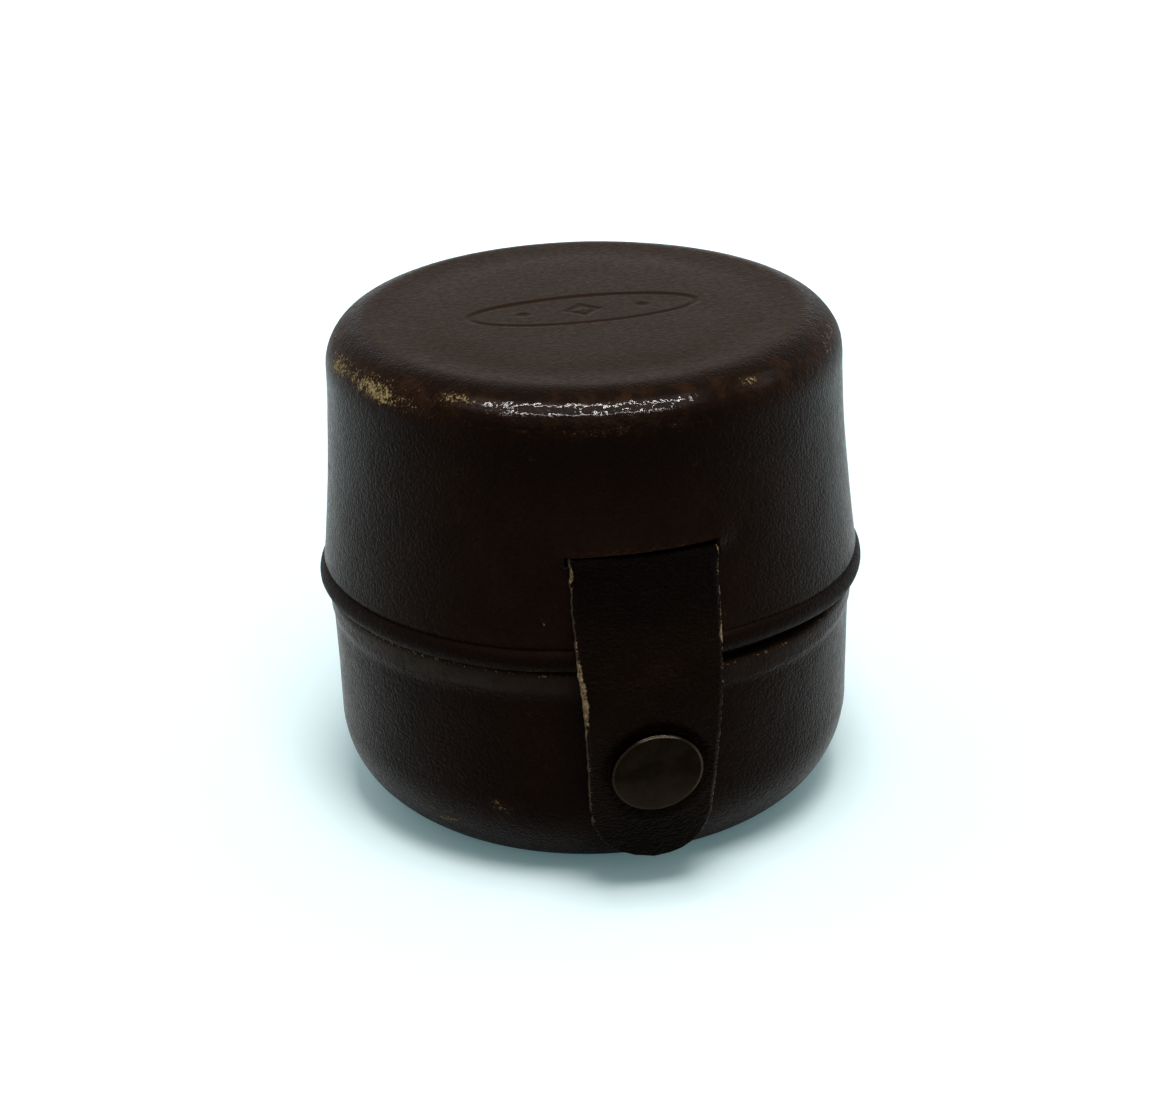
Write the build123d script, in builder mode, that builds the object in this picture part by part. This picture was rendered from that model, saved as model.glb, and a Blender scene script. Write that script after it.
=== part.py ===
from build123d import *
from math import asin, cos, degrees, hypot, radians, sin, sqrt
import os

os.makedirs("parts", exist_ok=True)

# A small round case of moulded leather, with a deep lid hinged at the back of a shallow base.
# Sizes are in millimetres. The origin lies on the case's axis at the base's underside, +Z is up,
# the closing strap is at the front (-Y) and the leather hinge is at the back (+Y).

# The two moulded cups
core_radius = 28.6
leather = 1.7

# Outside of the base
base_height = 27.2
foot_radius = 21.5
foot_rise = 11.5
base_rim_leather = 2.05
band_height = 3.5
band_step = 0.3
band_proud = 0.25
rim_rounding = 0.5

# Outside of the lid
seam_gap = 0.25
lid_height = 31.75
lid_rounding = 5.1
lid_top_leather = 1.3
lid_middle_leather = 1.75
lid_hem_leather = 2.75
bead_height = 2.6
bead_proud = 0.65
bead_undercut = 0.8
groove_depth = 0.25
groove_height = 0.55

# Blind embossing on the lid's top: a plain oval line round a lozenge and two dots
emboss_length = 27.0
emboss_width = 9.6
emboss_line = 0.5
emboss_depth = 0.2
lozenge_radius = 2.2
dot_radius = 0.7
dot_spacing = 7.0

# Cards and linings
lid_card = 0.8
lid_lining = 0.5
top_card = 1.2
collar_clearance = 0.6
collar_wall = 1.0
collar_stand = 7.2
collar_rounding = 0.4
collar_lining_cloth = 0.6
lining_setback = 0.4
wall_lining_gap = 0.8
card_rim_gap = 0.5
floor_board = 1.2
floor_lining_cloth = 0.6
glue_line = 0.05

# Closing strap
strap_thickness = 1.5
strap_root_width = 16.6
strap_snap_width = 14.5
strap_parallel = 6.5
strap_standoff = 3.1
strap_bow = 77.0
bow_height = 18.9
strap_root_height = 41.2
strap_tip_height = 4.9
strap_tip_length = 8.6
strap_tip_shift = 0.35
strap_clearance = 0.3
slot_clearance = 0.35
slot_bevel = 3.0
window_top_gap = 1.6
tail_gap = 0.2

# Press stud
snap_height = 17.2
cap_radius = 5.25
cap_height = 0.95
cap_roll = 0.35
cap_crown = 0.3
cap_flat = 1.0
cap_sink = 0.35
post_radius = 1.4
post_bore = 0.9
post_flare = 1.9
post_flare_height = 0.15
socket_radius = 3.9
socket_depth = 1.1
socket_plate = 0.4
socket_lip = 0.2
socket_mouth = 2.05
socket_cavity = 2.55
spring_wire = 0.2
spring_radius = 2.28
spring_opening = 60.0
snap_gap = 0.3
stud_flange_radius = 3.5
stud_flange = 0.45
stud_neck_radius = 1.5
stud_neck = 0.5
stud_head_radius = 1.85
stud_seat_depth = 0.05
rivet_radius = 1.1
rivet_bore = 0.7
rivet_flange_radius = 3.2
rivet_flange = 0.4
rivet_lip_radius = 1.35
rivet_lip = 0.2
rivet_recess = 0.08
metal_fit = 0.05

# Leather hinge
hinge_leather = 1.2
hinge_width = 17.0
hinge_clearance = 0.35
hinge_knuckle_gap = 0.4
hinge_lower_length = 16.5
hinge_upper_length = 17.0
hinge_corner = 2.5
hinge_bend_rise = 1.55
fold_meet_angle = 53.0
stitch_length = 1.7
stitch_pitch = 2.4
stitch_thread = 0.45
stitch_inset = 1.4
stitch_sink = 0.2
stitch_proud = 0.1

# Derived radii and heights
base_wall_radius = core_radius + leather
base_rim_radius = core_radius + base_rim_leather
band_radius = base_rim_radius + band_proud
band_foot = base_height - band_height
lid_rim = base_height + seam_gap
lid_top = lid_rim + lid_height
shoulder = lid_top - lid_rounding
lid_hem_radius = core_radius + lid_hem_leather
bead_radius = lid_hem_radius + bead_proud
bead_top = lid_rim + bead_height
groove_top = bead_top + groove_height
lid_ceiling = lid_top - leather
ceiling_rounding = lid_rounding - leather
collar_radius = core_radius - lid_card - collar_clearance
collar_bore = collar_radius - collar_wall
collar_top = base_height + collar_stand
lid_card_inside = core_radius - lid_card

# The strap is bowed: seen from the side, its two faces are arcs about one centre
strap_inside = base_wall_radius + strap_standoff
strap_outside = strap_inside + strap_thickness
bow_centre = strap_bow - strap_outside


def bow_front(radius, height):
    """How far before the case's axis an arc about the bow's centre lies at a height."""
    return sqrt(radius**2 - (height - bow_height) ** 2) - bow_centre


# Fold line of the strap, in the slot of the lid
bow_middle = strap_bow - strap_thickness / 2
root_front = bow_front(bow_middle, strap_root_height)
slot_half = strap_thickness / 2 + slot_clearance
slot_width = strap_root_width + 2 * slot_clearance
slot_low = strap_root_height - slot_half
slot_high = strap_root_height + slot_half
window_high = shoulder - window_top_gap

# Distances in front of the case's axis along the press stud's own axis
stud_seat = base_wall_radius - stud_seat_depth
socket_back = strap_inside
socket_face = socket_back - socket_depth
stud_tip = socket_face - snap_gap
cap_seat = strap_outside - cap_sink

# Fold line of the hinge
hinge_fold = hinge_leather / 2
hinge_back = bead_radius + hinge_clearance + hinge_fold
hinge_height = base_height + seam_gap / 2

# Where the flats of the hinge leathers run into the round of the fold
fold_out = hinge_fold * cos(radians(fold_meet_angle))
fold_down = hinge_fold * sin(radians(fold_meet_angle))


def ring(inner, outer, low, high):
    """Add a round plate, or a tube where it has an inner radius, between two heights."""
    with BuildSketch(Plane.XY.offset(low)) as flat:
        Circle(outer)
        if inner > 0:
            Circle(inner, mode=Mode.SUBTRACT)
    extrude(flat.sketch, amount=high - low)


def snap_plane(front):
    """A plane across the press stud's axis, facing forward, at a distance before the case's axis."""
    return Plane(origin=(0, -front, snap_height), x_dir=(1, 0, 0), z_dir=(0, -1, 0))


def snap_disc(radius, back, front, mode=Mode.ADD):
    """A disc on the press stud's axis between two distances before the case's axis."""
    with BuildSketch(snap_plane(back)) as flat:
        Circle(radius)
    extrude(flat.sketch, amount=front - back, mode=mode)


def front_block(width, low, high, near, far, mode=Mode.ADD):
    """A plain block across the front of the case, between two heights and two distances."""
    with BuildSketch(Plane.XY.offset(low)) as flat:
        with Locations((0, -(near + far) / 2)):
            Rectangle(width, far - near)
    extrude(flat.sketch, amount=high - low, mode=mode)


def rod(y, z, radius, width, mode=Mode.ADD):
    """A round rod along X."""
    with BuildSketch(Plane.YZ) as flat:
        with Locations((y, z)):
            Circle(radius)
    extrude(flat.sketch, amount=width / 2, both=True, mode=mode)


def stitch_line(plane, length):
    """Sewing along both sides and the far end of a hinge half, drawn on its outer face."""
    half_row = hinge_width / 2 - stitch_inset
    side_count = int((length - stitch_inset - stitch_length / 2) / stitch_pitch)
    end_count = int((2 * half_row - stitch_length) / stitch_pitch)
    side_middle = -length + stitch_inset + (side_count + 1) * stitch_pitch / 2
    with BuildSketch(plane) as rows:
        with Locations((-half_row, side_middle), (half_row, side_middle)):
            with GridLocations(stitch_pitch, stitch_pitch, 1, side_count):
                SlotOverall(stitch_length, stitch_thread, rotation=90)
        with Locations((0, -length + stitch_inset)):
            with GridLocations(stitch_pitch, stitch_pitch, end_count, 1):
                SlotOverall(stitch_length, stitch_thread)
    return rows.sketch


def base_cup(extra):
    """The outside of the base as a solid, larger all round by an extra."""
    wall = base_wall_radius + extra
    band = band_radius + extra
    with BuildPart() as cup:
        with BuildSketch(Plane.XZ):
            with BuildLine():
                Polyline((0, base_height), (0, 0), (foot_radius + extra, 0))
                TangentArc((wall, foot_rise), (foot_radius + extra, 0), tangent=(0, -1))
                Polyline(
                    (wall, foot_rise),
                    (base_rim_radius + extra, band_foot),
                    (band, band_foot + band_step),
                    (band, base_height - rim_rounding),
                )
                rounding_end = (band - rim_rounding, base_height)
                TangentArc((band, base_height - rim_rounding), rounding_end, tangent=(0, 1))
                Line(rounding_end, (0, base_height))
            make_face()
        revolve(axis=Axis.Z)
    return cup.part


def lid_cup(extra):
    """The outside of the lid as a solid, larger all round by an extra."""
    hem = lid_hem_radius + extra
    bead = bead_radius + extra
    top_wall = core_radius + lid_top_leather + extra
    with BuildPart() as cup:
        with BuildSketch(Plane.XZ):
            with BuildLine():
                Polyline((0, lid_top), (0, lid_rim), (bead - bead_undercut, lid_rim))
                ThreePointArc(
                    (bead - bead_undercut, lid_rim),
                    (bead, lid_rim + bead_height / 2),
                    (hem - groove_depth, bead_top),
                )
                Polyline(
                    (hem - groove_depth, bead_top),
                    (hem, groove_top),
                    (core_radius + lid_middle_leather + extra, (groove_top + shoulder) / 2),
                    (top_wall, shoulder),
                )
                TangentArc((top_wall, shoulder), (top_wall - lid_rounding, lid_top), tangent=(0, 1))
                Line((top_wall - lid_rounding, lid_top), (0, lid_top))
            make_face()
        revolve(axis=Axis.Z)
    return cup.part


# Base: the moulded cup, with a flat seat for the stud outside and for its rivet inside
with BuildPart() as base_shell:
    add(base_cup(0))
    with BuildSketch(Plane.XZ):
        with BuildLine():
            Polyline((0, base_height), (0, leather), (foot_radius, leather))
            TangentArc((core_radius, foot_rise), (foot_radius, leather), tangent=(0, -1))
            Polyline((core_radius, foot_rise), (core_radius, base_height), (0, base_height))
        make_face()
    revolve(axis=Axis.Z, mode=Mode.SUBTRACT)
    snap_disc(stud_flange_radius + metal_fit, stud_seat, strap_inside, mode=Mode.SUBTRACT)
    snap_disc(rivet_flange_radius + metal_fit, collar_radius, core_radius, mode=Mode.SUBTRACT)
    snap_disc(rivet_radius + metal_fit, collar_radius, strap_inside, mode=Mode.SUBTRACT)
base_shell.part.label = "base_shell"
export_step(base_shell.part, "parts/base_shell.step")

# Base: the card ring that fills the step between the cup and the collar
with BuildPart() as base_card_ring:
    ring(collar_radius + glue_line, core_radius - glue_line, foot_rise, base_height - card_rim_gap)
    snap_disc(rivet_flange_radius + metal_fit, 0, core_radius, mode=Mode.SUBTRACT)
base_card_ring.part.label = "base_card_ring"
export_step(base_card_ring.part, "parts/base_card_ring.step")

# Base: the board on the cup's floor
with BuildPart() as base_floor_board:
    ring(0, foot_radius - lining_setback, leather, leather + floor_board)
base_floor_board.part.label = "base_floor_board"
export_step(base_floor_board.part, "parts/base_floor_board.step")

# Base: the lining that lies on the board and turns up against the rounded bottom
lining_under = leather + floor_board
lining_over = lining_under + floor_lining_cloth
round_inside = core_radius - foot_radius
round_radius = (round_inside**2 + (foot_rise - leather) ** 2) / (2 * round_inside)
round_centre = core_radius - round_radius
outer_reach = round_radius - glue_line
inner_reach = outer_reach - floor_lining_cloth
with BuildPart() as base_floor_lining:
    with BuildSketch(Plane.XZ):
        with BuildLine():
            outer_across = sqrt(outer_reach**2 - (foot_rise - lining_under) ** 2)
            inner_across = sqrt(inner_reach**2 - (foot_rise - lining_over) ** 2)
            outer_turn = (round_centre + outer_across, lining_under)
            inner_turn = (round_centre + inner_across, lining_over)
            outer_end = (round_centre + outer_reach, foot_rise)
            inner_end = (round_centre + inner_reach, foot_rise)
            Polyline((0, lining_over), (0, lining_under), outer_turn)
            TangentArc(outer_end, outer_turn, tangent=(0, -1))
            Line(outer_end, inner_end)
            TangentArc(inner_end, inner_turn, tangent=(0, -1))
            Line(inner_turn, (0, lining_over))
        make_face()
    revolve(axis=Axis.Z)
base_floor_lining.part.label = "base_floor_lining"
export_step(base_floor_lining.part, "parts/base_floor_lining.step")

# Base: the collar that stands up into the lid, with its top edge rounded
with BuildPart() as inner_collar:
    ring(collar_bore, collar_radius, foot_rise, collar_top)
    fillet(inner_collar.edges().group_by(Axis.Z)[-1], collar_rounding)
inner_collar.part.label = "inner_collar"
export_step(inner_collar.part, "parts/inner_collar.step")

# Base: the cloth inside the collar
with BuildPart() as collar_lining:
    cloth_top = collar_top - collar_rounding - lining_setback
    cloth_radius = collar_bore - glue_line
    ring(cloth_radius - collar_lining_cloth, cloth_radius, foot_rise, cloth_top)
collar_lining.part.label = "collar_lining"
export_step(collar_lining.part, "parts/collar_lining.step")

# Press stud: the stud on the base wall, with a flange, a neck and a rounded head
with BuildPart() as snap_stud:
    snap_disc(stud_flange_radius, stud_seat, stud_seat + stud_flange)
    snap_disc(stud_neck_radius, stud_seat + stud_flange, stud_seat + stud_flange + stud_neck)
    snap_disc(stud_head_radius, stud_seat + stud_flange + stud_neck, stud_tip)
    head_edges = snap_stud.edges().filter_by(GeomType.CIRCLE).group_by(Axis.Y)[0]
    fillet(head_edges, rivet_recess)
    snap_disc(rivet_radius + metal_fit, stud_seat, stud_tip, mode=Mode.SUBTRACT)
    lip_back = stud_tip - rivet_recess - rivet_lip
    snap_disc(rivet_lip_radius + metal_fit, lip_back, stud_tip, mode=Mode.SUBTRACT)
snap_stud.part.label = "snap_stud"
export_step(snap_stud.part, "parts/snap_stud.step")

# Press stud: the hollow rivet that clinches the stud from inside the base wall
with BuildPart() as snap_rivet:
    snap_disc(rivet_flange_radius, core_radius - rivet_flange, core_radius)
    snap_disc(rivet_radius, core_radius - rivet_flange, lip_back)
    snap_disc(rivet_lip_radius, lip_back, lip_back + rivet_lip)
    snap_disc(rivet_bore, core_radius - rivet_flange, lip_back + rivet_lip, mode=Mode.SUBTRACT)
snap_rivet.part.label = "snap_rivet"
export_step(snap_rivet.part, "parts/snap_rivet.step")

# Hinge: the lower leather on the base's back, which ends in the rounded fold
lower_end = base_height - hinge_lower_length
lower_face = Plane(
    origin=(0, band_radius + hinge_leather, band_foot),
    x_dir=(-1, 0, 0),
    z_dir=(0, band_foot - lower_end, -(band_radius - base_wall_radius)),
)
lower_sewing = stitch_line(lower_face, band_foot - lower_end)
with BuildPart() as hinge_lower_leather:
    with BuildSketch(Plane.YZ):
        with BuildLine():
            Polyline(
                (core_radius, lower_end),
                (base_wall_radius + hinge_leather, lower_end),
                (band_radius + hinge_leather, band_foot),
                (hinge_back + fold_out, hinge_height - fold_down),
                (hinge_back - fold_down, base_height - glue_line),
                (core_radius, base_height - glue_line),
                close=True,
            )
        make_face()
    extrude(amount=hinge_width / 2, both=True)
    corner_edges = hinge_lower_leather.edges().filter_by(Axis.Y).group_by(Axis.Z)[0]
    fillet(corner_edges, hinge_corner)
    add(base_cup(glue_line), mode=Mode.SUBTRACT)
    rod(hinge_back, hinge_height, hinge_fold, hinge_width)
    extrude(lower_sewing, amount=-stitch_sink, mode=Mode.SUBTRACT)
hinge_lower_leather.part.label = "hinge_lower_leather"
export_step(hinge_lower_leather.part, "parts/hinge_lower_leather.step")

# Hinge: the thread that sews the lower leather down
with BuildPart() as hinge_lower_stitches:
    extrude(lower_sewing, amount=-stitch_sink)
    extrude(lower_sewing, amount=stitch_proud)
hinge_lower_stitches.part.label = "hinge_lower_stitches"
export_step(hinge_lower_stitches.part, "parts/hinge_lower_stitches.step")

# Lid: the moulded cup with its bead and embossing, and the strap's slot with its lower lip bevelled
with BuildPart() as lid_shell:
    add(lid_cup(0))
    with BuildSketch(Plane.XZ):
        with BuildLine():
            wall_end = (core_radius, shoulder)
            ceiling_end = (core_radius - ceiling_rounding, lid_ceiling)
            Polyline(wall_end, (core_radius, lid_rim), (0, lid_rim), (0, lid_ceiling), ceiling_end)
            TangentArc(wall_end, ceiling_end, tangent=(0, 1))
        make_face()
    revolve(axis=Axis.Z, mode=Mode.SUBTRACT)
    under_strap = strap_bow - strap_thickness - strap_clearance
    with BuildSketch(Plane.YZ):
        with BuildLine():
            Polyline(
                (-collar_bore, slot_low),
                (-collar_bore, slot_high),
                (-strap_outside, slot_high),
                (-strap_outside, slot_low - slot_bevel),
                (-bow_front(under_strap, slot_low - slot_bevel), slot_low - slot_bevel),
                (-bow_front(under_strap, slot_low), slot_low),
                close=True,
            )
        make_face()
    extrude(amount=slot_width / 2, both=True, mode=Mode.SUBTRACT)
    with BuildSketch(Plane.XY.offset(lid_top)):
        Ellipse(emboss_length / 2, emboss_width / 2)
        Ellipse(emboss_length / 2 - emboss_line, emboss_width / 2 - emboss_line, mode=Mode.SUBTRACT)
        RegularPolygon(lozenge_radius, 4)
        with Locations((-dot_spacing, 0), (dot_spacing, 0)):
            Circle(dot_radius)
    extrude(amount=-emboss_depth, mode=Mode.SUBTRACT)
lid_shell.part.label = "lid_shell"
export_step(lid_shell.part, "parts/lid_shell.step")

# Lid: the card core of the wall, with a window that the strap's tail is glued into
with BuildPart() as lid_card_ring:
    ring(lid_card_inside, core_radius - glue_line, lid_rim + card_rim_gap, shoulder)
    front_block(slot_width, slot_low, window_high, 0, core_radius, mode=Mode.SUBTRACT)
lid_card_ring.part.label = "lid_card_ring"
export_step(lid_card_ring.part, "parts/lid_card_ring.step")

# Lid: the card of the top
with BuildPart() as lid_top_card:
    ring(0, core_radius - ceiling_rounding, lid_ceiling - top_card, lid_ceiling)
lid_top_card.part.label = "lid_top_card"
export_step(lid_top_card.part, "parts/lid_top_card.step")

# Lid: the cloth on the wall, which stops above the collar
with BuildPart() as lid_wall_lining:
    cloth_outside = lid_card_inside - glue_line
    ring(cloth_outside - lid_lining, cloth_outside, collar_top + wall_lining_gap, shoulder)
lid_wall_lining.part.label = "lid_wall_lining"
export_step(lid_wall_lining.part, "parts/lid_wall_lining.step")

# Lid: the cloth under the top card
with BuildPart() as lid_top_lining:
    ring(0, core_radius - ceiling_rounding, lid_ceiling - top_card - lid_lining, lid_ceiling - top_card)
lid_top_lining.part.label = "lid_top_lining"
export_step(lid_top_lining.part, "parts/lid_top_lining.step")

# Lid: the tail of the strap, skived to the card's thickness, and its neck in the slot
with BuildPart() as strap_tail:
    tail_top = window_high - slot_clearance
    neck_low = strap_root_height - strap_thickness / 2
    neck_high = strap_root_height + strap_thickness / 2
    ring(0, core_radius - glue_line, strap_root_height, tail_top)
    front_block(strap_root_width, strap_root_height, tail_top, 0, core_radius, mode=Mode.INTERSECT)
    front_block(strap_root_width, neck_low, neck_high, collar_bore, root_front)
    with BuildSketch():
        Circle(lid_card_inside)
    extrude(amount=lid_top, mode=Mode.SUBTRACT)
    rod(-root_front, strap_root_height, strap_thickness / 2 + tail_gap, slot_width, mode=Mode.SUBTRACT)
strap_tail.part.label = "strap_tail"
export_step(strap_tail.part, "parts/strap_tail.step")

# Hinge: the upper leather, moulded over the bead and up the lid's back
upper_start = groove_top
upper_end = lid_rim + hinge_upper_length
upper_low = hinge_height + hinge_fold + hinge_knuckle_gap
upper_outer = hinge_back + fold_out
upper_thick = lid_hem_radius + hinge_leather
upper_thin = core_radius + lid_middle_leather + hinge_leather
upper_face = Plane(
    origin=(0, upper_thick, upper_start),
    x_dir=(1, 0, 0),
    z_dir=(0, upper_end - upper_start, upper_thick - upper_thin),
)
upper_sewing = stitch_line(upper_face, hypot(upper_end - upper_start, upper_thick - upper_thin))
with BuildPart() as hinge_upper_leather:
    with BuildSketch(Plane.YZ):
        with BuildLine():
            Polyline(
                (core_radius, upper_low),
                (upper_outer, upper_low),
                (upper_outer, lid_rim + hinge_bend_rise),
                (upper_thick, upper_start),
                (upper_thin, upper_end),
                (core_radius, upper_end),
                close=True,
            )
        make_face()
    extrude(amount=hinge_width / 2, both=True)
    corner_edges = hinge_upper_leather.edges().filter_by(Axis.Y).group_by(Axis.Z)[-1]
    fillet(corner_edges, hinge_corner)
    add(lid_cup(glue_line), mode=Mode.SUBTRACT)
    extrude(upper_sewing, amount=-stitch_sink, mode=Mode.SUBTRACT)
hinge_upper_leather.part.label = "hinge_upper_leather"
export_step(hinge_upper_leather.part, "parts/hinge_upper_leather.step")

# Hinge: the thread that sews the upper leather down
with BuildPart() as hinge_upper_stitches:
    extrude(upper_sewing, amount=-stitch_sink)
    extrude(upper_sewing, amount=stitch_proud)
hinge_upper_stitches.part.label = "hinge_upper_stitches"
export_step(hinge_upper_stitches.part, "parts/hinge_upper_stitches.step")

# Strap: bowed over the bead, tapered, with a rounded tip that is cut a little to one side
tip_start = strap_tip_height + strap_tip_length
taper_start = strap_root_height - strap_parallel
root_half = strap_root_width / 2
snap_half = strap_snap_width / 2
root_angle = degrees(asin((strap_root_height - bow_height) / bow_middle))
with BuildPart() as closure_strap:
    with BuildSketch(Plane.YZ):
        with BuildLine():
            bow = (bow_centre, bow_height)
            inner_face = CenterArc(bow, strap_bow - strap_thickness, 180 - root_angle, 2 * root_angle)
            outer_face = CenterArc(bow, strap_bow, 180 - root_angle, 2 * root_angle)
            Line(inner_face @ 0, outer_face @ 0)
            Line(inner_face @ 1, outer_face @ 1)
        make_face()
    extrude(amount=root_half, both=True)
    rod(-root_front, strap_root_height, strap_thickness / 2, strap_root_width)
    with BuildSketch(Plane.XZ):
        with BuildLine():
            Polyline(
                (-snap_half - strap_tip_shift, tip_start),
                (-root_half, taper_start),
                (-root_half, lid_top),
                (root_half, lid_top),
                (root_half, taper_start),
                (snap_half - strap_tip_shift, tip_start),
            )
            EllipticalCenterArc(
                (-strap_tip_shift, tip_start),
                snap_half,
                strap_tip_length,
                start_angle=180,
                arc_size=180,
            )
        make_face()
    extrude(amount=strap_bow, mode=Mode.INTERSECT)
    snap_disc(cap_radius + metal_fit, cap_seat, strap_bow, mode=Mode.SUBTRACT)
    snap_disc(socket_radius + metal_fit, 0, socket_back, mode=Mode.SUBTRACT)
    snap_disc(post_radius + metal_fit, 0, strap_bow, mode=Mode.SUBTRACT)
closure_strap.part.label = "closure_strap"
export_step(closure_strap.part, "parts/closure_strap.step")

# Press stud: the domed cap with its rolled edge, and the hollow post that holds the socket
plate_front = socket_back - socket_plate
cap_rim = cap_seat + cap_height - cap_crown
snap_axis = Axis((0, 0, snap_height), (0, 1, 0))
with BuildPart() as snap_cap:
    with BuildSketch(Plane.YZ):
        with BuildLine():
            Polyline(
                (-cap_rim - cap_crown, snap_height + cap_flat),
                (-cap_rim - cap_crown, snap_height),
                (-cap_seat, snap_height),
                (-cap_seat, snap_height + cap_radius),
                (cap_roll - cap_rim, snap_height + cap_radius),
            )
            TangentArc(
                (cap_roll - cap_rim, snap_height + cap_radius),
                (-cap_rim, snap_height + cap_radius - cap_roll),
                tangent=(-1, 0),
            )
            TangentArc(
                (-cap_rim - cap_crown, snap_height + cap_flat),
                (-cap_rim, snap_height + cap_radius - cap_roll),
                tangent=(0, 1),
            )
        make_face()
    revolve(axis=snap_axis)
    snap_disc(post_radius, plate_front - post_flare_height, cap_seat)
    snap_disc(post_flare, plate_front - post_flare_height, plate_front)
    snap_disc(post_bore, plate_front - post_flare_height, cap_seat, mode=Mode.SUBTRACT)
snap_cap.part.label = "snap_cap"
export_step(snap_cap.part, "parts/snap_cap.step")

# Press stud: the socket on the back of the strap, with a groove for its spring
with BuildPart() as snap_socket:
    snap_disc(socket_radius, socket_face, socket_back)
    rim_edges = snap_socket.edges().group_by(Axis.Y)[-1]
    fillet(rim_edges, socket_lip)
    snap_disc(post_radius + metal_fit, socket_face, socket_back, mode=Mode.SUBTRACT)
    snap_disc(socket_cavity, socket_face + socket_lip, plate_front, mode=Mode.SUBTRACT)
    snap_disc(socket_mouth, socket_face, plate_front, mode=Mode.SUBTRACT)
snap_socket.part.label = "snap_socket"
export_step(snap_socket.part, "parts/snap_socket.step")

# Press stud: the open wire ring that grips the stud's head
spring_front = (socket_face + socket_lip + plate_front) / 2
with BuildPart() as snap_spring:
    with BuildSketch(Plane.YZ):
        with Locations((-spring_front, snap_height + spring_radius)):
            Circle(spring_wire)
    revolve(axis=snap_axis, revolution_arc=360 - spring_opening)
snap_spring.part.label = "snap_spring"
export_step(snap_spring.part, "parts/snap_spring.step")
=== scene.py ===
from math import asin, cos, hypot, pi, radians, sin, sqrt

import bpy
import numpy as np
from mathutils import Euler, Matrix, Vector, noise


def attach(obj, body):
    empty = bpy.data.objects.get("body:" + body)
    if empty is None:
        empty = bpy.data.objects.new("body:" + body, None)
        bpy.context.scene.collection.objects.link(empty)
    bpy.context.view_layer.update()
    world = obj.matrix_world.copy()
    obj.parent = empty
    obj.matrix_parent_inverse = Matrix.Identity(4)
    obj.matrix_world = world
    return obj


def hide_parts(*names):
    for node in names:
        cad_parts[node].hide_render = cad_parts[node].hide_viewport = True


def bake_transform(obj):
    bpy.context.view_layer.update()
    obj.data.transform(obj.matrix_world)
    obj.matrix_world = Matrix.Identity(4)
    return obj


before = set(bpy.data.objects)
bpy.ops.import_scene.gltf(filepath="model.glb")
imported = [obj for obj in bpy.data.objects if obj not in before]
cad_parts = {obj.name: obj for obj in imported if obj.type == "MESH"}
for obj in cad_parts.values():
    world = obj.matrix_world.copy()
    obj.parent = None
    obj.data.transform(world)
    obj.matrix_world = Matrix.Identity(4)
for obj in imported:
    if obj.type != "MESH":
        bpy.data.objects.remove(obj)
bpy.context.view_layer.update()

# Lengths are in millimetres here and are turned into metres where a mesh is made.
# The case's axis is Z, its strap is at the front (-Y) and its hinge at the back (+Y).
# Angles round the case are in radians from the front, and grow to the right.
MM = 0.001

# Case
CORE = 28.6
BASE_TOP = 27.2
LID_RIM = 27.45
LID_TOP = 59.2
SHOULDER = 54.1
CORNER = 5.1
TOP_WALL = 29.9
MIDDLE_WALL = 30.35
HEM_WALL = 31.35
HEM_TOP = 30.6
BEAD_TOP = 30.05
BEAD_RADIUS = 32.0
RIM_EDGE = 31.2
CEILING = 57.5
CEILING_CORNER = 3.4
FOOT_RADIUS = 21.5
FOOT_RISE = 11.5
BASE_WALL = 30.3
BASE_RIM = 30.65
BAND_RADIUS = 30.9
BAND_FOOT = 23.7
BAND_ROUND = 0.5
LEATHER = 1.7

# How finely the cups are divided
LID_COLUMNS = 480
BASE_COLUMNS = 420
EMBOSS_REACH = 14.4
EMBOSS_STEP = 0.18
WALL_STEP = 0.38
INSIDE_STEP = 1.6

# Strap and its slot
SLOT_LOW = 40.1
SLOT_HIGH = 41.5
SLOT_HALF_WIDTH = 8.65
SLOT_CLIMB = 0.25
BOW = 77.0
BOW_CENTRE = 42.1
BOW_HEIGHT = 18.9
STRAP_THICKNESS = 1.5
NECK_THICKNESS = 0.85
TAIL_THICKNESS = 0.7
TAIL_HALF_WIDTH = 8.3

# Press stud
SNAP_HEIGHT = 17.2
STUD_SEAT = 30.25
SOCKET_SEAT = -33.4
CAP_SEAT = -34.42
CAP_HEIGHT = 16.75
CAP_TILT = 12.0

# Hinge
HINGE_Y = 32.95
HINGE_Z = 27.325
HINGE_WIDTH = 17.0
HINGE_LEATHER = 1.2
HINGE_LOW = 10.7
HINGE_HIGH = 44.45
HINGE_ROUND = 2.5

# Collar and linings
COLLAR_INSIDE = 26.2
COLLAR_OUTSIDE = 27.2
COLLAR_ROUND = 0.4
COLLAR_FOOT = 11.5
COLLAR_SHOULDER = 34.0
FLOOR_CLOTH = (2.92, 3.5)
TOP_CLOTH = (55.82, 56.28)


def arc(centre, radius, start, end, count):
    """Points along an arc, from one angle to another in degrees."""
    steps = np.linspace(radians(start), radians(end), count)
    return [(centre[0] + radius * cos(a), centre[1] + radius * sin(a)) for a in steps]


def even_heights(start, end, step):
    """Heights from one to another, both included, about a step apart."""
    count = max(2, int(round(abs(start - end) / step)) + 1)
    return list(np.linspace(start, end, count))


def upright(radius, start, end, step):
    """A straight stretch of a section, all at one radius."""
    return [(radius, z) for z in even_heights(start, end, step)]


def lengths_along(line):
    """How far each point of a line lies from its start, measured along it."""
    return np.concatenate([[0], np.cumsum(np.hypot(*np.diff(line, axis=0).T))])


def square_to(line):
    """Steps of length 1 at right angles to a line, on its right."""
    along = np.gradient(line, axis=0)
    along /= np.hypot(*along.T)[:, None]
    return np.stack([along[:, 1], -along[:, 0]], -1)


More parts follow.
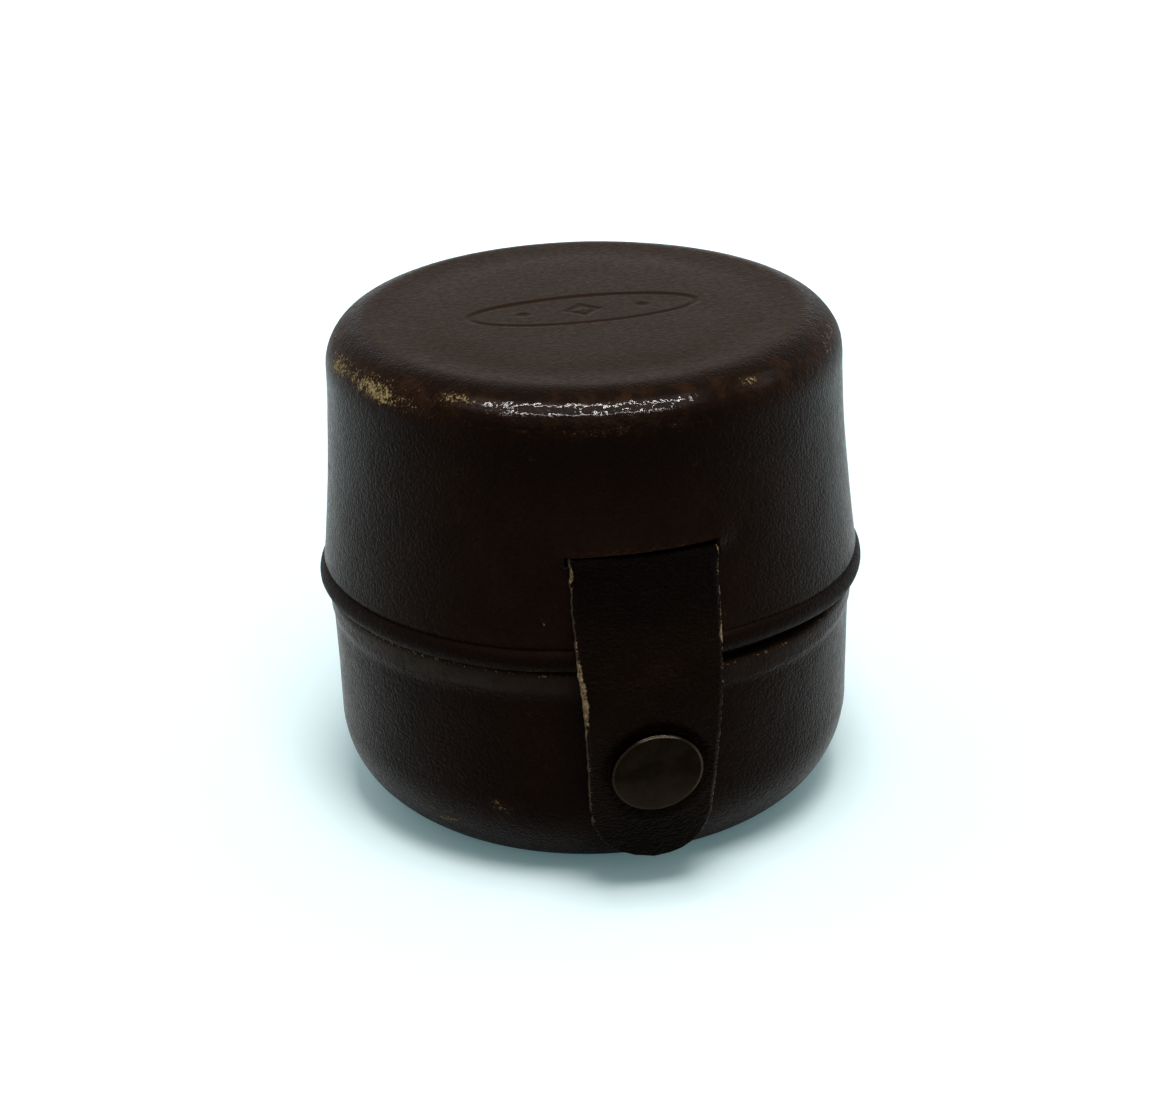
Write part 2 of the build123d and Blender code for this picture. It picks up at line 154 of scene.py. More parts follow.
def spline(points, step):
    """Points evenly spaced along a smooth line through the given ones."""
    p = np.asarray(points, float)
    p = np.vstack([2 * p[0] - p[1], p, 2 * p[-1] - p[-2]])
    fine = []
    for a, b, c, d in zip(p, p[1:], p[2:], p[3:]):
        for t in np.linspace(0, 1, 24, endpoint=False):
            curve = (2 * a - 5 * b + 4 * c - d) * t**2 + (3 * b - a - 3 * c + d) * t**3
            fine.append(0.5 * (2 * b + (c - a) * t + curve))
    fine = np.array(fine + [p[-2]])
    run = lengths_along(fine)
    stops = np.linspace(0, run[-1], int(run[-1] / step) + 1)
    return np.stack([np.interp(stops, run, fine[:, i]) for i in range(2)], -1)


def smooth(low, high, value):
    """0 up to low, 1 from high on, and a smooth rise between them. A high under low turns it round."""
    t = np.clip((np.asarray(value, float) - low) / (high - low), 0, 1)
    return t * t * (3 - 2 * t)


def between(start, full, fade, end, value):
    """0 outside start and end, 1 between full and fade, and smooth in between."""
    return smooth(start, full, value) * smooth(end, fade, value)


def bump_at(centre, width, value):
    """A smooth hill of height 1."""
    return np.exp(-(((np.asarray(value, float) - centre) / width) ** 2))


def marks(table, value):
    """Several smooth hills, each given by its centre, width and height."""
    return sum(height * bump_at(centre, width, value) for centre, width, height in table)


def grain(points, scale, octaves=3, offset=0.0):
    """Fractal noise at each point, from about -1 to 1."""
    points = np.asarray(points, float)
    shift = Vector((offset, offset * 0.7, offset * 1.3))
    scaled = [Vector(p) * scale + shift for p in points.reshape(-1, 3)]
    values = [noise.fractal(p, 1.0, 2.0, octaves) for p in scaled]
    return np.array(values).reshape(points.shape[:-1])


def around(radius, height, angle):
    """Points round the case's axis."""
    return np.stack([radius * np.sin(angle), -radius * np.cos(angle), height], -1)


def even_angles(count):
    return np.linspace(-pi, pi, count, endpoint=False)


# Meshes

def make_mesh(name, points, faces, materials, face_materials=None, sharp=50):
    """A mesh piece from points in millimetres, with creases where it turns by over sharp degrees.

    Its points' places are kept for the materials.
    """
    points = np.asarray(points, float)
    mesh = bpy.data.meshes.new(name)
    mesh.from_pydata((points * MM).tolist(), [], faces)
    mesh.polygons.foreach_set("use_smooth", [True] * len(mesh.polygons))
    for material in materials:
        mesh.materials.append(material)
    if face_materials is not None:
        mesh.polygons.foreach_set("material_index", face_materials)
    place = mesh.attributes.new("place", "FLOAT_VECTOR", "POINT")
    place.data.foreach_set("vector", points.astype(np.float32).ravel())
    mesh.validate()
    mesh.set_sharp_from_angle(angle=radians(sharp))
    obj = bpy.data.objects.new(name, mesh)
    bpy.context.scene.collection.objects.link(obj)
    return obj


def paint(obj, name, values):
    """A number for each point of the mesh, which a material reads."""
    attribute = obj.data.attributes.new(name, "FLOAT", "POINT")
    attribute.data.foreach_set("value", np.asarray(values, np.float32))


def turned(outline, angles, shape, poles=True):
    """Points and faces of a section turned about the axis.

    The section is listed so that the material lies on the right of its line when the axis is on
    the left. With poles it starts and ends on the axis, and without it is a closed loop.
    """
    outline = np.asarray(outline, float)
    count = len(angles)
    rows = outline[1:-1] if poles else outline
    angle, radius = np.meshgrid(angles, rows[:, 0])
    angle, height = np.meshgrid(angles, rows[:, 1])
    radius, height = shape(radius, height, angle)
    points = around(radius, height, angle).reshape(-1, 3)
    faces = []
    turns = len(rows) - 1 if poles else len(rows)
    for i in range(turns):
        here, there = i * count, ((i + 1) % len(rows)) * count
        for j in range(count):
            k = (j + 1) % count
            faces.append((here + j, there + j, there + k, here + k))
    if poles:
        start, end = len(points), len(points) + 1
        last = (len(rows) - 1) * count
        points = np.vstack([points, [0, 0, outline[0, 1]], [0, 0, outline[-1, 1]]])
        for j in range(count):
            k = (j + 1) % count
            faces.append((start, j, k))
            faces.append((last + j, end, last + k))
    return points, faces


def strip_grids(line, out, x, half, back):
    """Points of a strip of leather, outside and inside, each half its thickness from its line."""
    y, z = line.T[..., None]
    out_y, out_z = out.T[..., None]
    sides = [(x, y + side * out_y * half + back, z + side * out_z * half) for side in (1, -1)]
    return np.array([np.stack(side, -1) for side in sides])


def strip_faces(rows, columns):
    """Faces of a strip of leather, whose outside grid of points comes before its inside grid.

    Each face has the material 0 on the two sides and 1 on the cut edges.
    """
    back = rows * columns
    faces, kinds = [], []
    for i in range(rows - 1):
        for j in range(columns - 1):
            a = i * columns + j
            b = a + columns
            faces += [(a, b, b + 1, a + 1), (back + a + 1, back + b + 1, back + b, back + a)]
            kinds += [0, 0]
        left, right = i * columns, (i + 1) * columns - 1
        faces.append((left, back + left, back + left + columns, left + columns))
        faces.append((right, right + columns, back + right + columns, back + right))
        kinds += [1, 1]
    for start, flip in ((0, False), ((rows - 1) * columns, True)):
        for a in range(start, start + columns - 1):
            quad = (a, a + 1, back + a + 1, back + a)
            faces.append(quad[::-1] if flip else quad)
            kinds.append(1)
    return faces, kinds


# Materials

def rgb(red, green, blue):
    return (red, green, blue, 1.0)


class Nodes:
    """A node tree being built. Its values are numbers, colours or the outputs of its nodes."""

    def __init__(self, tree):
        self.tree = tree

    def fill(self, socket, value):
        """Sets an input to a value, or links an output to it."""
        if isinstance(value, bpy.types.NodeSocket):
            self.tree.links.new(value, socket)
        else:
            socket.default_value = value

    def add(self, kind, inputs=None, **settings):
        """A new node with its settings and its inputs."""
        made = self.tree.nodes.new("ShaderNode" + kind)
        for key, value in settings.items():
            setattr(made, key, value)
        for key, value in (inputs or {}).items():
            self.fill(made.inputs[key], value)
        return made

    def maths(self, kind, values):
        """One number from several, which are joined from the left."""
        result = values[0]
        for value in values[1:]:
            result = self.add("Math", {0: result, 1: value}, operation=kind).outputs[0]
        return result

    def plus(self, *values):
        return self.maths("ADD", values)

    def minus(self, *values):
        return self.maths("SUBTRACT", values)

    def times(self, *values):
        return self.maths("MULTIPLY", values)

    def mapped(self, value, low, high, to_low=0.0, to_high=1.0):
        """A smooth change from to_low to to_high as the value goes from low to high."""
        inputs = {"Value": value, "From Min": low, "From Max": high, "To Min": to_low, "To Max": to_high}
        return self.add("MapRange", inputs, interpolation_type="SMOOTHSTEP").outputs["Result"]

    def mixed(self, share, a, b):
        """Colour a where the share is 0, and colour b where it is 1."""
        return self.add("Mix", {0: share, 6: a, 7: b}, data_type="RGBA").outputs[2]

    def relief(self, heights):
        """Bumps laid over each other. heights: socket, depth in millimetres."""
        below = None
        for height, depth in heights:
            inputs = {"Height": height, "Distance": depth * MM, "Strength": 1.0}
            if below is not None:
                inputs["Normal"] = below
            below = self.add("Bump", inputs).outputs["Normal"]
        return below

    def rays(self):
        """What is known of each ray, and 1 for those that see: straight, in a gloss or through glass."""
        known = self.add("LightPath").outputs
        seeing = [known[f"Is {kind} Ray"] for kind in ("Camera", "Glossy", "Transmission")]
        return known, self.maths("MAXIMUM", seeing)


class Surface(Nodes):
    """A material being built. Its patterns follow the place on the piece, in millimetres."""

    def __init__(self, name, own_place=True):
        self.material = bpy.data.materials.new(name)
        self.material.use_nodes = True
        super().__init__(self.material.node_tree)
        if own_place:
            self.place = self.add("Attribute", attribute_name="place").outputs["Vector"]
        else:
            self.place = self.add("TexCoord").outputs["Object"]
            self.place = self.stretched((1 / MM, 1 / MM, 1 / MM))

    def stretched(self, stretch):
        """The place, with its axes stretched where a pattern runs one way."""
        if stretch is None:
            return self.place
        return self.add("VectorMath", {0: self.place, 1: stretch}, operation="MULTIPLY").outputs[0]

    def painted(self, name):
        """A number painted on the mesh's points, 0 where the mesh has none of that name."""
        return self.add("Attribute", attribute_name=name).outputs["Fac"]

    def speckle(self, scale, detail=4.0, roughness=0.6, distortion=0.0, stretch=None):
        inputs = {"Vector": self.stretched(stretch), "Scale": scale, "Detail": detail}
        inputs |= {"Roughness": roughness, "Distortion": distortion}
        return self.add("TexNoise", inputs).outputs["Fac"]

    def cells(self, scale, stretch=None):
        inputs = {"Vector": self.stretched(stretch), "Scale": scale}
        return self.add("TexVoronoi", inputs, feature="SMOOTH_F1").outputs["Distance"]

    def bands(self, scale, distortion, stretch=None):
        inputs = {"Vector": self.stretched(stretch), "Scale": scale, "Distortion": distortion}
        return self.add("TexWave", inputs, wave_type="BANDS", bands_direction="DIAGONAL").outputs["Fac"]

    def finish(self, colour, rough, bumps=(), **others):
        """Fills the shader's inputs, with bumps as relief takes them, and returns the material."""
        inputs = {"Base Color": colour, "Roughness": rough}
        inputs |= {key.replace("_", " "): value for key, value in others.items()}
        if bumps:
            inputs["Normal"] = self.relief(bumps)
        shader = self.tree.nodes["Principled BSDF"]
        for key, value in inputs.items():
            self.fill(shader.inputs[key], value)
        return self.material


# What shows on the case's leather where it is worn or dusty, with the painted light on its flat top and the
# painted shade where shadows fall
SCUFFED = rgb(0.024, 0.0105, 0.0046)
BARE = (rgb(0.13, 0.082, 0.034), rgb(0.36, 0.27, 0.13))
DUST = rgb(0.045, 0.034, 0.027)
TOP_PAINTED_LIGHT = rgb(0.018, 0.008, 0.0027)
SHADOWED = rgb(0.003, 0.0015, 0.0008)
STRAP_SHADOWED = rgb(0.0012, 0.0008, 0.0006)


def case_leather(name, dark, light, streak):
    """Moulded leather with a fine pebble, pull marks, mottled colour, worn patches and a glazed edge."""
    n = Surface(name)
    mottle = n.speckle(0.11, 5.0, 0.65, 0.4)
    warm = n.speckle(0.33, 6.0, 0.7, 0.5)
    fine = n.speckle(1.3, 6.0, 0.7)
    grit = n.speckle(4.5, 2.0, 0.6)
    pulls = n.speckle(0.9, 3.0, 0.55, stretch=streak)
    ragged = n.minus(n.speckle(1.1, 8.0, 0.75, 0.6), 0.5)
    crumbs = n.minus(n.speckle(3.4, 4.0, 0.7), 0.5)
    calm = n.painted("calm")
    # Wear first scuffs the surface, and then bares the leather under it
    worn = n.plus(n.painted("wear"), n.times(ragged, 1.7), n.times(crumbs, 1.5))
    scuffed = n.mapped(worn, 0.25, 0.62, 0.0, 0.85)
    bare = n.mapped(worn, 0.6, 0.74)
    tone = n.plus(n.times(mottle, 0.6), n.times(fine, 0.4))
    dusty = n.times(n.painted("dust"), n.mapped(warm, 0.25, 0.6, 0.35, 1.0))
    rubbed = n.times(n.mapped(warm, 0.46, 0.66), n.painted("polish"))
    colour = n.mixed(n.mapped(tone, 0.36, 0.66), dark, light)
    colour = n.mixed(dusty, colour, DUST)
    # Painted light: the flat top is painted a lighter brown, as lit from above
    colour = n.mixed(n.times(calm, 0.85), colour, TOP_PAINTED_LIGHT)
    # Painted shade: where the deep paint lies the leather is painted almost black, as shade
    colour = n.mixed(n.times(n.painted("deep"), 0.85), colour, SHADOWED)
    colour = n.mixed(rubbed, colour, SCUFFED)
    colour = n.mixed(scuffed, colour, SCUFFED)
    colour = n.mixed(bare, colour, n.mixed(n.mapped(crumbs, -0.12, 0.14), *BARE))
    rough = n.mapped(fine, 0.3, 0.7, 0.2, 0.34)
    rough = n.plus(rough, n.times(n.painted("matte"), 0.26), n.times(calm, 0.16), n.times(bare, 0.3))
    glaze = n.times(n.painted("glaze"), n.mapped(crumbs, -0.16, 0.02, 0.2, 1.0), n.minus(1.0, bare))
    # The flat top is calmer than the walls
    coarse = n.times(pulls, n.mapped(calm, 0.0, 1.0, 1.0, 0.1))
    grainy = n.minus(n.times(fine, 0.7), n.cells(3.0))
    grainy = n.times(grainy, n.mapped(calm, 0.0, 1.0, 1.0, 0.38))
    bumps = [(coarse, 0.018), (grainy, 0.075), (grit, 0.017), (bare, -0.06)]
    coat = {"Coat_Weight": glaze, "Coat_Roughness": 0.06, "Coat_IOR": 1.32}
    coat["Coat_Normal"] = n.relief([(fine, 0.008), (n.cells(2.0), -0.04), (grit, 0.005)])
    return n.finish(colour, rough, bumps, IOR=1.13, Specular_Tint=rgb(0.42, 0.26, 0.27), **coat)


def raw_edge(name, straw, deep):
    """The cut edge of leather, with its fibres, straw-coloured where it is worn."""
    n = Surface(name)
    fibres = n.speckle(1.6, 8.0, 0.75, stretch=(2.5, 2.5, 1.0))
    patch = n.minus(n.speckle(0.55, 5.0, 0.7), 0.5)
    shown = n.mapped(n.plus(n.painted("wear"), n.times(patch, 2.0)), 0.42, 0.8)
    colour = n.mixed(shown, deep, n.mixed(n.mapped(fibres, 0.35, 0.65), *straw))
    return n.finish(colour, 0.85, [(fibres, 0.12)], IOR=1.25)


def strap_leather(name, dark, light, bare_tones):
    """Smooth strap leather with a pebbled, creased face and scuffed edges."""
    n = Surface(name)
    fine = n.speckle(2.2, 6.0, 0.7)
    pebble = n.cells(2.6, (0.8, 1.0, 1.3))
    creases = n.speckle(1.0, 6.0, 0.65, 0.9, (0.55, 0.8, 1.8))
    ragged = n.minus(n.speckle(1.2, 9.0, 0.8, 0.6), 0.5)
    bare = n.mapped(n.plus(n.painted("wear"), n.times(ragged, 2.2)), 0.48, 0.66)
    colour = n.mixed(n.mapped(n.speckle(0.16, 5.0, 0.6), 0.3, 0.7), dark, light)
    # Painted shade: where the deep paint lies the strap is painted almost black, as shade
    colour = n.mixed(n.painted("deep"), colour, STRAP_SHADOWED)
    colour = n.mixed(bare, colour, n.mixed(n.mapped(fine, 0.38, 0.62), *bare_tones))
    rough = n.minus(n.mapped(fine, 0.3, 0.7, 0.3, 0.44), n.times(n.painted("polish"), 0.06))
    bumps = [(creases, 0.4), (fine, 0.1), (pebble, -0.28)]
    return n.finish(colour, rough, bumps, IOR=1.11, Specular_Tint=rgb(0.4, 0.27, 0.24))


def cloth(name, dark, light, fineness):
    """A plain weave. A fineness of 1.3 gives about 2 threads a millimetre."""
    n = Surface(name)
    nap = n.speckle(1.4, 6.0, 0.7)
    weave = n.times(n.bands(fineness, 0.6), n.bands(fineness, 0.6, (-1, 1, 1)))
    tone = n.plus(n.times(weave, 0.5), n.times(nap, 0.5))
    colour = n.mixed(n.mapped(tone, 0.15, 0.75), dark, light)
    return n.finish(colour, 0.9, [(nap, 0.1), (weave, 0.08)], IOR=1.25, Sheen_Weight=0.2)


def card(name, own_place=True):
    """Pressed card with flecks."""
    n = Surface(name, own_place)
    flecks = n.speckle(1.1, 8.0, 0.75, stretch=(1.0, 1.0, 2.2))
    soil = n.mapped(n.speckle(0.14, 4.0, 0.6), 0.4, 0.75, 0.0, 0.7)
    clean = n.mixed(n.mapped(flecks, 0.35, 0.65), rgb(0.26, 0.2, 0.14), rgb(0.4, 0.33, 0.24))
    colour = n.mixed(soil, clean, rgb(0.15, 0.1, 0.065))
    return n.finish(colour, 0.85, [(flecks, 0.06)], IOR=1.3)


def metal(name, tones, rubbed, rough, scratch, edge_tint=rgb(1, 1, 1), own_place=True):
    """Lacquered or plain brass with fine scratches and tarnish, lighter where its wear paint lies: rubbed on
    its rim, and on the cap also a painted highlight and reflection.
    """
    n = Surface(name, own_place)
    fine = n.speckle(3.0, 6.0, 0.7)
    lines = n.speckle(2.2, 5.0, 0.7, stretch=(0.35, 1.0, 4.0))
    colour = n.mixed(n.mapped(n.speckle(0.5, 6.0, 0.65), 0.35, 0.68), *tones)
    shown = n.times(n.painted("wear"), n.mapped(fine, 0.25, 0.55, 0.4, 1.0))
    colour = n.mixed(shown, colour, rubbed)
    gloss = n.mapped(fine, 0.3, 0.7, *rough)
    return n.finish(colour, gloss, [(lines, scratch), (fine, scratch)], Metallic=1.0, Specular_Tint=edge_tint)


def thread(name):
    """Waxed twisted thread."""
    n = Surface(name)
    fuzz = n.speckle(2.5, 5.0, 0.7)
    colour = n.mixed(n.mapped(fuzz, 0.35, 0.7), rgb(0.15, 0.105, 0.065), rgb(0.3, 0.225, 0.14))
    return n.finish(colour, 0.6, [(n.bands(2.2, 0.4), 0.12), (fuzz, 0.04)])


outside_leather = case_leather(
    "case_leather", rgb(0.0056, 0.0026, 0.0013), rgb(0.01, 0.0047, 0.0023), streak=(1.4, 1.4, 0.3)
)
hinge_face = case_leather(
    "hinge_leather", rgb(0.0095, 0.0045, 0.0023), rgb(0.016, 0.0076, 0.0038), streak=(0.8, 0.8, 0.8)
)
strap_face = strap_leather(
    "strap_leather",
    rgb(0.0042, 0.0022, 0.0012),
    rgb(0.0085, 0.0044, 0.0021),
    bare_tones=(rgb(0.14, 0.09, 0.04), rgb(0.36, 0.27, 0.15)),
)
cut_edge = raw_edge(
    "cut_leather_edge", straw=(rgb(0.15, 0.085, 0.038), rgb(0.44, 0.32, 0.17)), deep=rgb(0.03, 0.016, 0.01)
)
lining_cloth = cloth("lining_cloth", rgb(0.05, 0.028, 0.018), rgb(0.13, 0.078, 0.05), fineness=1.3)
board = card("card_board")
board_cad = card("card_of_cad", own_place=False)
cap_metal = metal(
    "cap_metal",
    tones=(rgb(0.0044, 0.0028, 0.0016), rgb(0.0074, 0.0049, 0.0028)),
    # On the cap this rubbed colour also paints the highlight on its rim and a reflection on its lower face
    rubbed=rgb(0.14, 0.11, 0.085),
    rough=(0.22, 0.34),
    scratch=0.006,
    edge_tint=rgb(0.55, 0.5, 0.45),
)
brass = metal(
    "press_stud_brass",
    tones=(rgb(0.36, 0.25, 0.11), rgb(0.62, 0.47, 0.24)),
    rubbed=rgb(0.7, 0.55, 0.3),
    rough=(0.25, 0.42),
    scratch=0.012,
    own_place=False,
)
sewing = thread("sewing_thread")


# Lid

def wall_radius(z):
    """Outside of the lid's wall between its shoulder and its hem."""
    t = (SHOULDER - z) / (SHOULDER - HEM_TOP)
    bend = 2 * (TOP_WALL - 2 * MIDDLE_WALL + HEM_WALL)
    return TOP_WALL + (HEM_WALL - TOP_WALL - bend) * t + bend * t * t


def bead_outline(count):
    """The rolled bead at the lid's rim: an arc through its top, its widest point and its edge."""
    a, b, c = np.array([(HEM_WALL - 0.25, BEAD_TOP), (BEAD_RADIUS, LID_RIM + 1.3), (RIM_EDGE, LID_RIM)])
    middle = np.linalg.solve([b - a, c - b], [(b @ b - a @ a) / 2, (c @ c - b @ b) / 2])
    start, end = (np.degrees(np.arctan2(*(p - middle)[::-1])) for p in (a, c))
    return arc(middle, hypot(*(a - middle)), start, end, count)


# Columns are even all round, with one moved onto each side of the slot
slot_angle = asin(SLOT_HALF_WIDTH / MIDDLE_WALL)
lid_angles = even_angles(LID_COLUMNS)
slot_left = int(np.argmin(abs(lid_angles + slot_angle)))
slot_right = int(np.argmin(abs(lid_angles - slot_angle)))
lid_angles[slot_left] = -slot_angle
lid_angles[slot_right] = slot_angle

# A row's number is 1 less than its place in the outline, whose first point is a pole
slot_rows = list(np.linspace(SLOT_HIGH, SLOT_LOW, 6))
outer = [(0, LID_TOP)]
outer += [(r, LID_TOP) for r in np.arange(EMBOSS_STEP, EMBOSS_REACH, EMBOSS_STEP)]
outer += [(r, LID_TOP) for r in np.linspace(EMBOSS_REACH, TOP_WALL - CORNER, 18)]
outer += arc((TOP_WALL - CORNER, SHOULDER), CORNER, 90, 0, 30)[1:]
outer += [(wall_radius(z), z) for z in even_heights(SHOULDER, SLOT_HIGH, WALL_STEP)[1:-1]]
slot_first = len(outer) - 1
outer += [(wall_radius(z), z) for z in slot_rows]
outer += [(wall_radius(z), z) for z in even_heights(SLOT_LOW, HEM_TOP, WALL_STEP)[1:]]
outer += [(HEM_WALL - 0.14, BEAD_TOP + 0.27)]
outer += bead_outline(16)
outer += [(RIM_EDGE - 0.4, LID_RIM), (CORE + 0.9, LID_RIM), (CORE + 0.15, LID_RIM)]
inner = [(CORE, LID_RIM + 0.2)]
inner += [(CORE, z) for z in even_heights(LID_RIM + 1.2, SLOT_LOW, INSIDE_STEP)[:-1]]
slot_inner_first = len(outer) + len(inner) - 1
inner += [(CORE, z) for z in slot_rows[::-1]]
inner += [(CORE, z) for z in even_heights(SLOT_HIGH, SHOULDER, INSIDE_STEP)[1:]]
inner += arc((CORE - CEILING_CORNER, SHOULDER), CEILING_CORNER, 0, 90, 8)[1:]
inner += [(r, CEILING) for r in (20, 12, 5, 0)]


def emboss(x, y):
    """Depth of the blind embossing: an oval line, a lozenge and two dots."""
    a, b = 13.25, 4.55
    f = np.sqrt((x / a) ** 2 + (y / b) ** 2) + 1e-9
    slope = np.sqrt(x * x / a**4 + y * y / b**4) / f + 1e-9
    beyond = (f - 1) / slope
    depth = 0.15 * smooth(0.62, 0.1, np.abs(beyond))
    depth += 0.05 * smooth(0.1, -0.6, beyond)
    lozenge = (np.abs(x) + np.abs(y) - 2.2) / sqrt(2)
    depth += 0.12 * smooth(0.3, -0.3, lozenge) - 0.09 * smooth(-0.55, -0.95, lozenge)
    for side in (-7.0, 7.0):
        depth += 0.12 * smooth(1.0, 0.4, np.hypot(x - side, y))
    return depth


def lid_shape(radius, height, angle):
    """Makes the lid's section wavy, worn and askew, and shapes the leather round the slot."""
    outside = np.zeros_like(radius)
    outside[: len(outer) - 1] = 1
    front = np.cos(angle) > 0
    points = around(radius, height, angle)
    slow = grain(points, 0.055, 3, 4.0)
    quick = grain(points, 0.42, 3, 9.0)
    wall = outside * smooth(LID_TOP - 0.2, SHOULDER, height)
    flat = outside * smooth(LID_TOP - 0.6, LID_TOP, height)
    radius = radius + wall * (0.16 * slow + 0.012 * quick)
    height = height + flat * (0.09 * slow - 0.02 + 0.008 * quick)
    # The top is a little dished inside its rounded edge
    height -= flat * 0.16 * bump_at(21.5, 3.2, radius)
    height -= flat * emboss(points[..., 0], points[..., 1])
    # The rounded edge is worn, most of all at the front left
    corner = outside * smooth(SHOULDER - 0.5, SHOULDER + 1.5, height) * smooth(22.0, 26.0, radius)
    rubbed = 0.25 + marks(((-0.85, 0.45, 1.0), (1.05, 0.35, 0.45)), angle)
    radius -= corner * rubbed * (0.07 + 0.075 * grain(points, 1.15, 4, 21.0))
    # The groove over the bead is shallower at the front right
    shallow = between(-0.5, 0.2, 1.7, 2.3, angle)
    radius += outside * (0.1 + 0.1 * shallow) * bump_at(BEAD_TOP + 0.05, 0.4, height)
    # The slot runs a little uphill to the right
    climb = SLOT_CLIMB * np.clip(radius * np.sin(angle) / SLOT_HALF_WIDTH, -1.4, 1.4) * front
    height += climb * smooth(4.5, 0.8, np.abs(height - SLOT_HIGH))
    # Lip above the slot and beside it
    across = np.abs(radius * np.sin(angle))
    near = smooth(SLOT_HALF_WIDTH + 2.8, SLOT_HALF_WIDTH - 1.4, across) * front
    over = height - SLOT_HIGH - climb
    above = smooth(-0.06, 0.0, over) * np.exp(-np.maximum(over, 0) / 1.3)
    beside = (across > SLOT_HALF_WIDTH - 0.05) * (over < 0) * bump_at(0.0, 1.6, over)
    radius += outside * near * np.maximum(above, beside) * 0.7
    # Below the slot the wall is cut away under the strap
    in_reach = (height <= SLOT_LOW + 0.3) & (height > SLOT_LOW - 3.4)
    under_strap = (outside > 0) & front & (across < SLOT_HALF_WIDTH + 0.05) & in_reach
    bow = BOW - STRAP_THICKNESS - 0.3
    allowed = (np.sqrt(bow**2 - (height - BOW_HEIGHT) ** 2) - BOW_CENTRE) / np.cos(angle)
    radius = np.where(under_strap, np.minimum(radius, allowed), radius)
    # The lid sits a little askew: its rim stands higher at the front right
    low = smooth(LID_RIM + 11.0, LID_RIM + 1.0, height)
    height += low * 0.5 * between(-0.55, 0.1, 0.45, 1.0, angle)
    return radius, height


# Worn marks on the lid's rounded edge: angle, width and strength
BROW_MARKS = ((-1.45, 0.15, 0.74), (-1.13, 0.16, 0.75), (-0.88, 0.2, 0.38))
# The crest mark at 0.5, on the right, is partly wear and partly a painted glint
CREST_MARKS = ((-0.7, 0.09, 0.62), (-1.2, 0.5, 0.3), (0.5, 0.09, 0.66))


def paint_lid(obj, points):
    """Where the lid is worn, calm, rubbed, matte or glazed, and where light and shade are painted on it."""
    x, y, z = points.T
    angle = np.arctan2(x, -y)
    radius = np.hypot(x, y)
    # Degrees up the rounded edge, 0 at the wall and 90 at the flat top
    over = np.degrees(np.arctan2(z - SHOULDER, np.maximum(radius - TOP_WALL + CORNER, 0.01)))
    on_corner = z > SHOULDER - 0.8
    wear = bump_at(27, 15, over) * marks(BROW_MARKS, angle)
    wear += bump_at(47, 10, over) * marks(CREST_MARKS, angle)
    wear += bump_at(40, 20, over) * (0.46 * bump_at(1.15, 0.3, angle) + 0.3 * (np.abs(angle) > 1.6))
    wear += 0.3 * bump_at(14, 9, over) * bump_at(-0.1, 0.7, angle)
    wear *= on_corner
    rim = bump_at(LID_RIM + 0.2, 0.6, z) * smooth(30.9, 31.3, radius)
    lip = bump_at(SLOT_HIGH, 0.4, z) * (np.abs(x) < SLOT_HALF_WIDTH + 0.4) * (y < 0)
    nick = bump_at(-0.369, 0.009, angle) * bump_at(33.4, 0.45, z)
    patches = smooth(0.34, 0.6, grain(points, 0.2, 2, 55.0)) * (z < SHOULDER)
    paint(obj, "wear", wear + 0.3 * rim + 0.2 * lip + nick + 0.2 * patches)
    # The flat top is calm: smoother in relief, and painted lighter as lit from above
    paint(obj, "calm", smooth(72, 90, over) * on_corner)
    paint(obj, "polish", bump_at(48, 26, over) * on_corner)
    bead = smooth(BEAD_TOP + 0.4, BEAD_TOP - 0.1, z)
    paint(obj, "matte", np.maximum(bump_at(40, 30, over) * on_corner, bead))
    # Painted shade: the bead and the hem below it all round, and the upper front wall under the rounded edge,
    # are painted darker where shade falls
    shade = smooth(45, 52.5, z) * smooth(30, 22, over) * (radius > CORE + 0.8)
    shade *= between(-0.85, -0.5, 0.3, 0.6, angle)
    paint(obj, "deep", np.maximum(bead, 0.9 * shade))
    lit = between(-0.76, -0.6, 0.16, 0.34, angle) + 0.6 * bump_at(0.56, 0.1, angle)
    paint(obj, "glaze", between(33, 38, 49, 54, over) * on_corner * lit)


def make_lid():
    points, faces = turned(outer + inner, lid_angles, lid_shape)
    count = LID_COLUMNS
    slot_last = slot_first + len(slot_rows) - 1
    slot_inner_last = slot_inner_first + len(slot_rows) - 1
    # Faces are listed row by row, so a face's number tells where it is
    open_rows = [*range(slot_first, slot_last), *range(slot_inner_first, slot_inner_last)]
    opening = {row * count + j for row in open_rows for j in range(slot_left, slot_right)}
    kept = [face for number, face in enumerate(faces) if number not in opening]
    cut = []
    top, in_top = slot_first * count, slot_inner_last * count
    low, in_low = slot_last * count, slot_inner_first * count
    for j in range(slot_left, slot_right):
        cut.append((top + j, in_top + j, in_top + j + 1, top + j + 1))
        cut.append((low + j + 1, in_low + j + 1, in_low + j, low + j))
    for i in range(len(slot_rows) - 1):
        rows = (slot_first + i, slot_first + i + 1, slot_inner_last - i - 1, slot_inner_last - i)
        cut.append(tuple(row * count + slot_left for row in rows))
        cut.append(tuple(row * count + slot_right for row in rows[::-1]))
    kinds = [0] * len(kept) + [1] * len(cut)
    obj = make_mesh("lid_leather", points, kept + cut, [outside_leather, cut_edge], kinds)
    paint_lid(obj, points)
    return obj


lid_leather = make_lid()
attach(lid_leather, "lid")
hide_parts("lid_shell")


# Base

def foot_arc(wall, rise):
    """Radius and lower end, in degrees, of the arc from a wall down to the foot."""
    radius = (wall - FOOT_RADIUS) / 2 + rise**2 / (2 * (wall - FOOT_RADIUS))
    return radius, -np.degrees(np.arcsin(rise / radius))


bottom_arc, bottom_end = foot_arc(BASE_WALL, FOOT_RISE)
inside_arc, inside_end = foot_arc(CORE, FOOT_RISE - LEATHER)

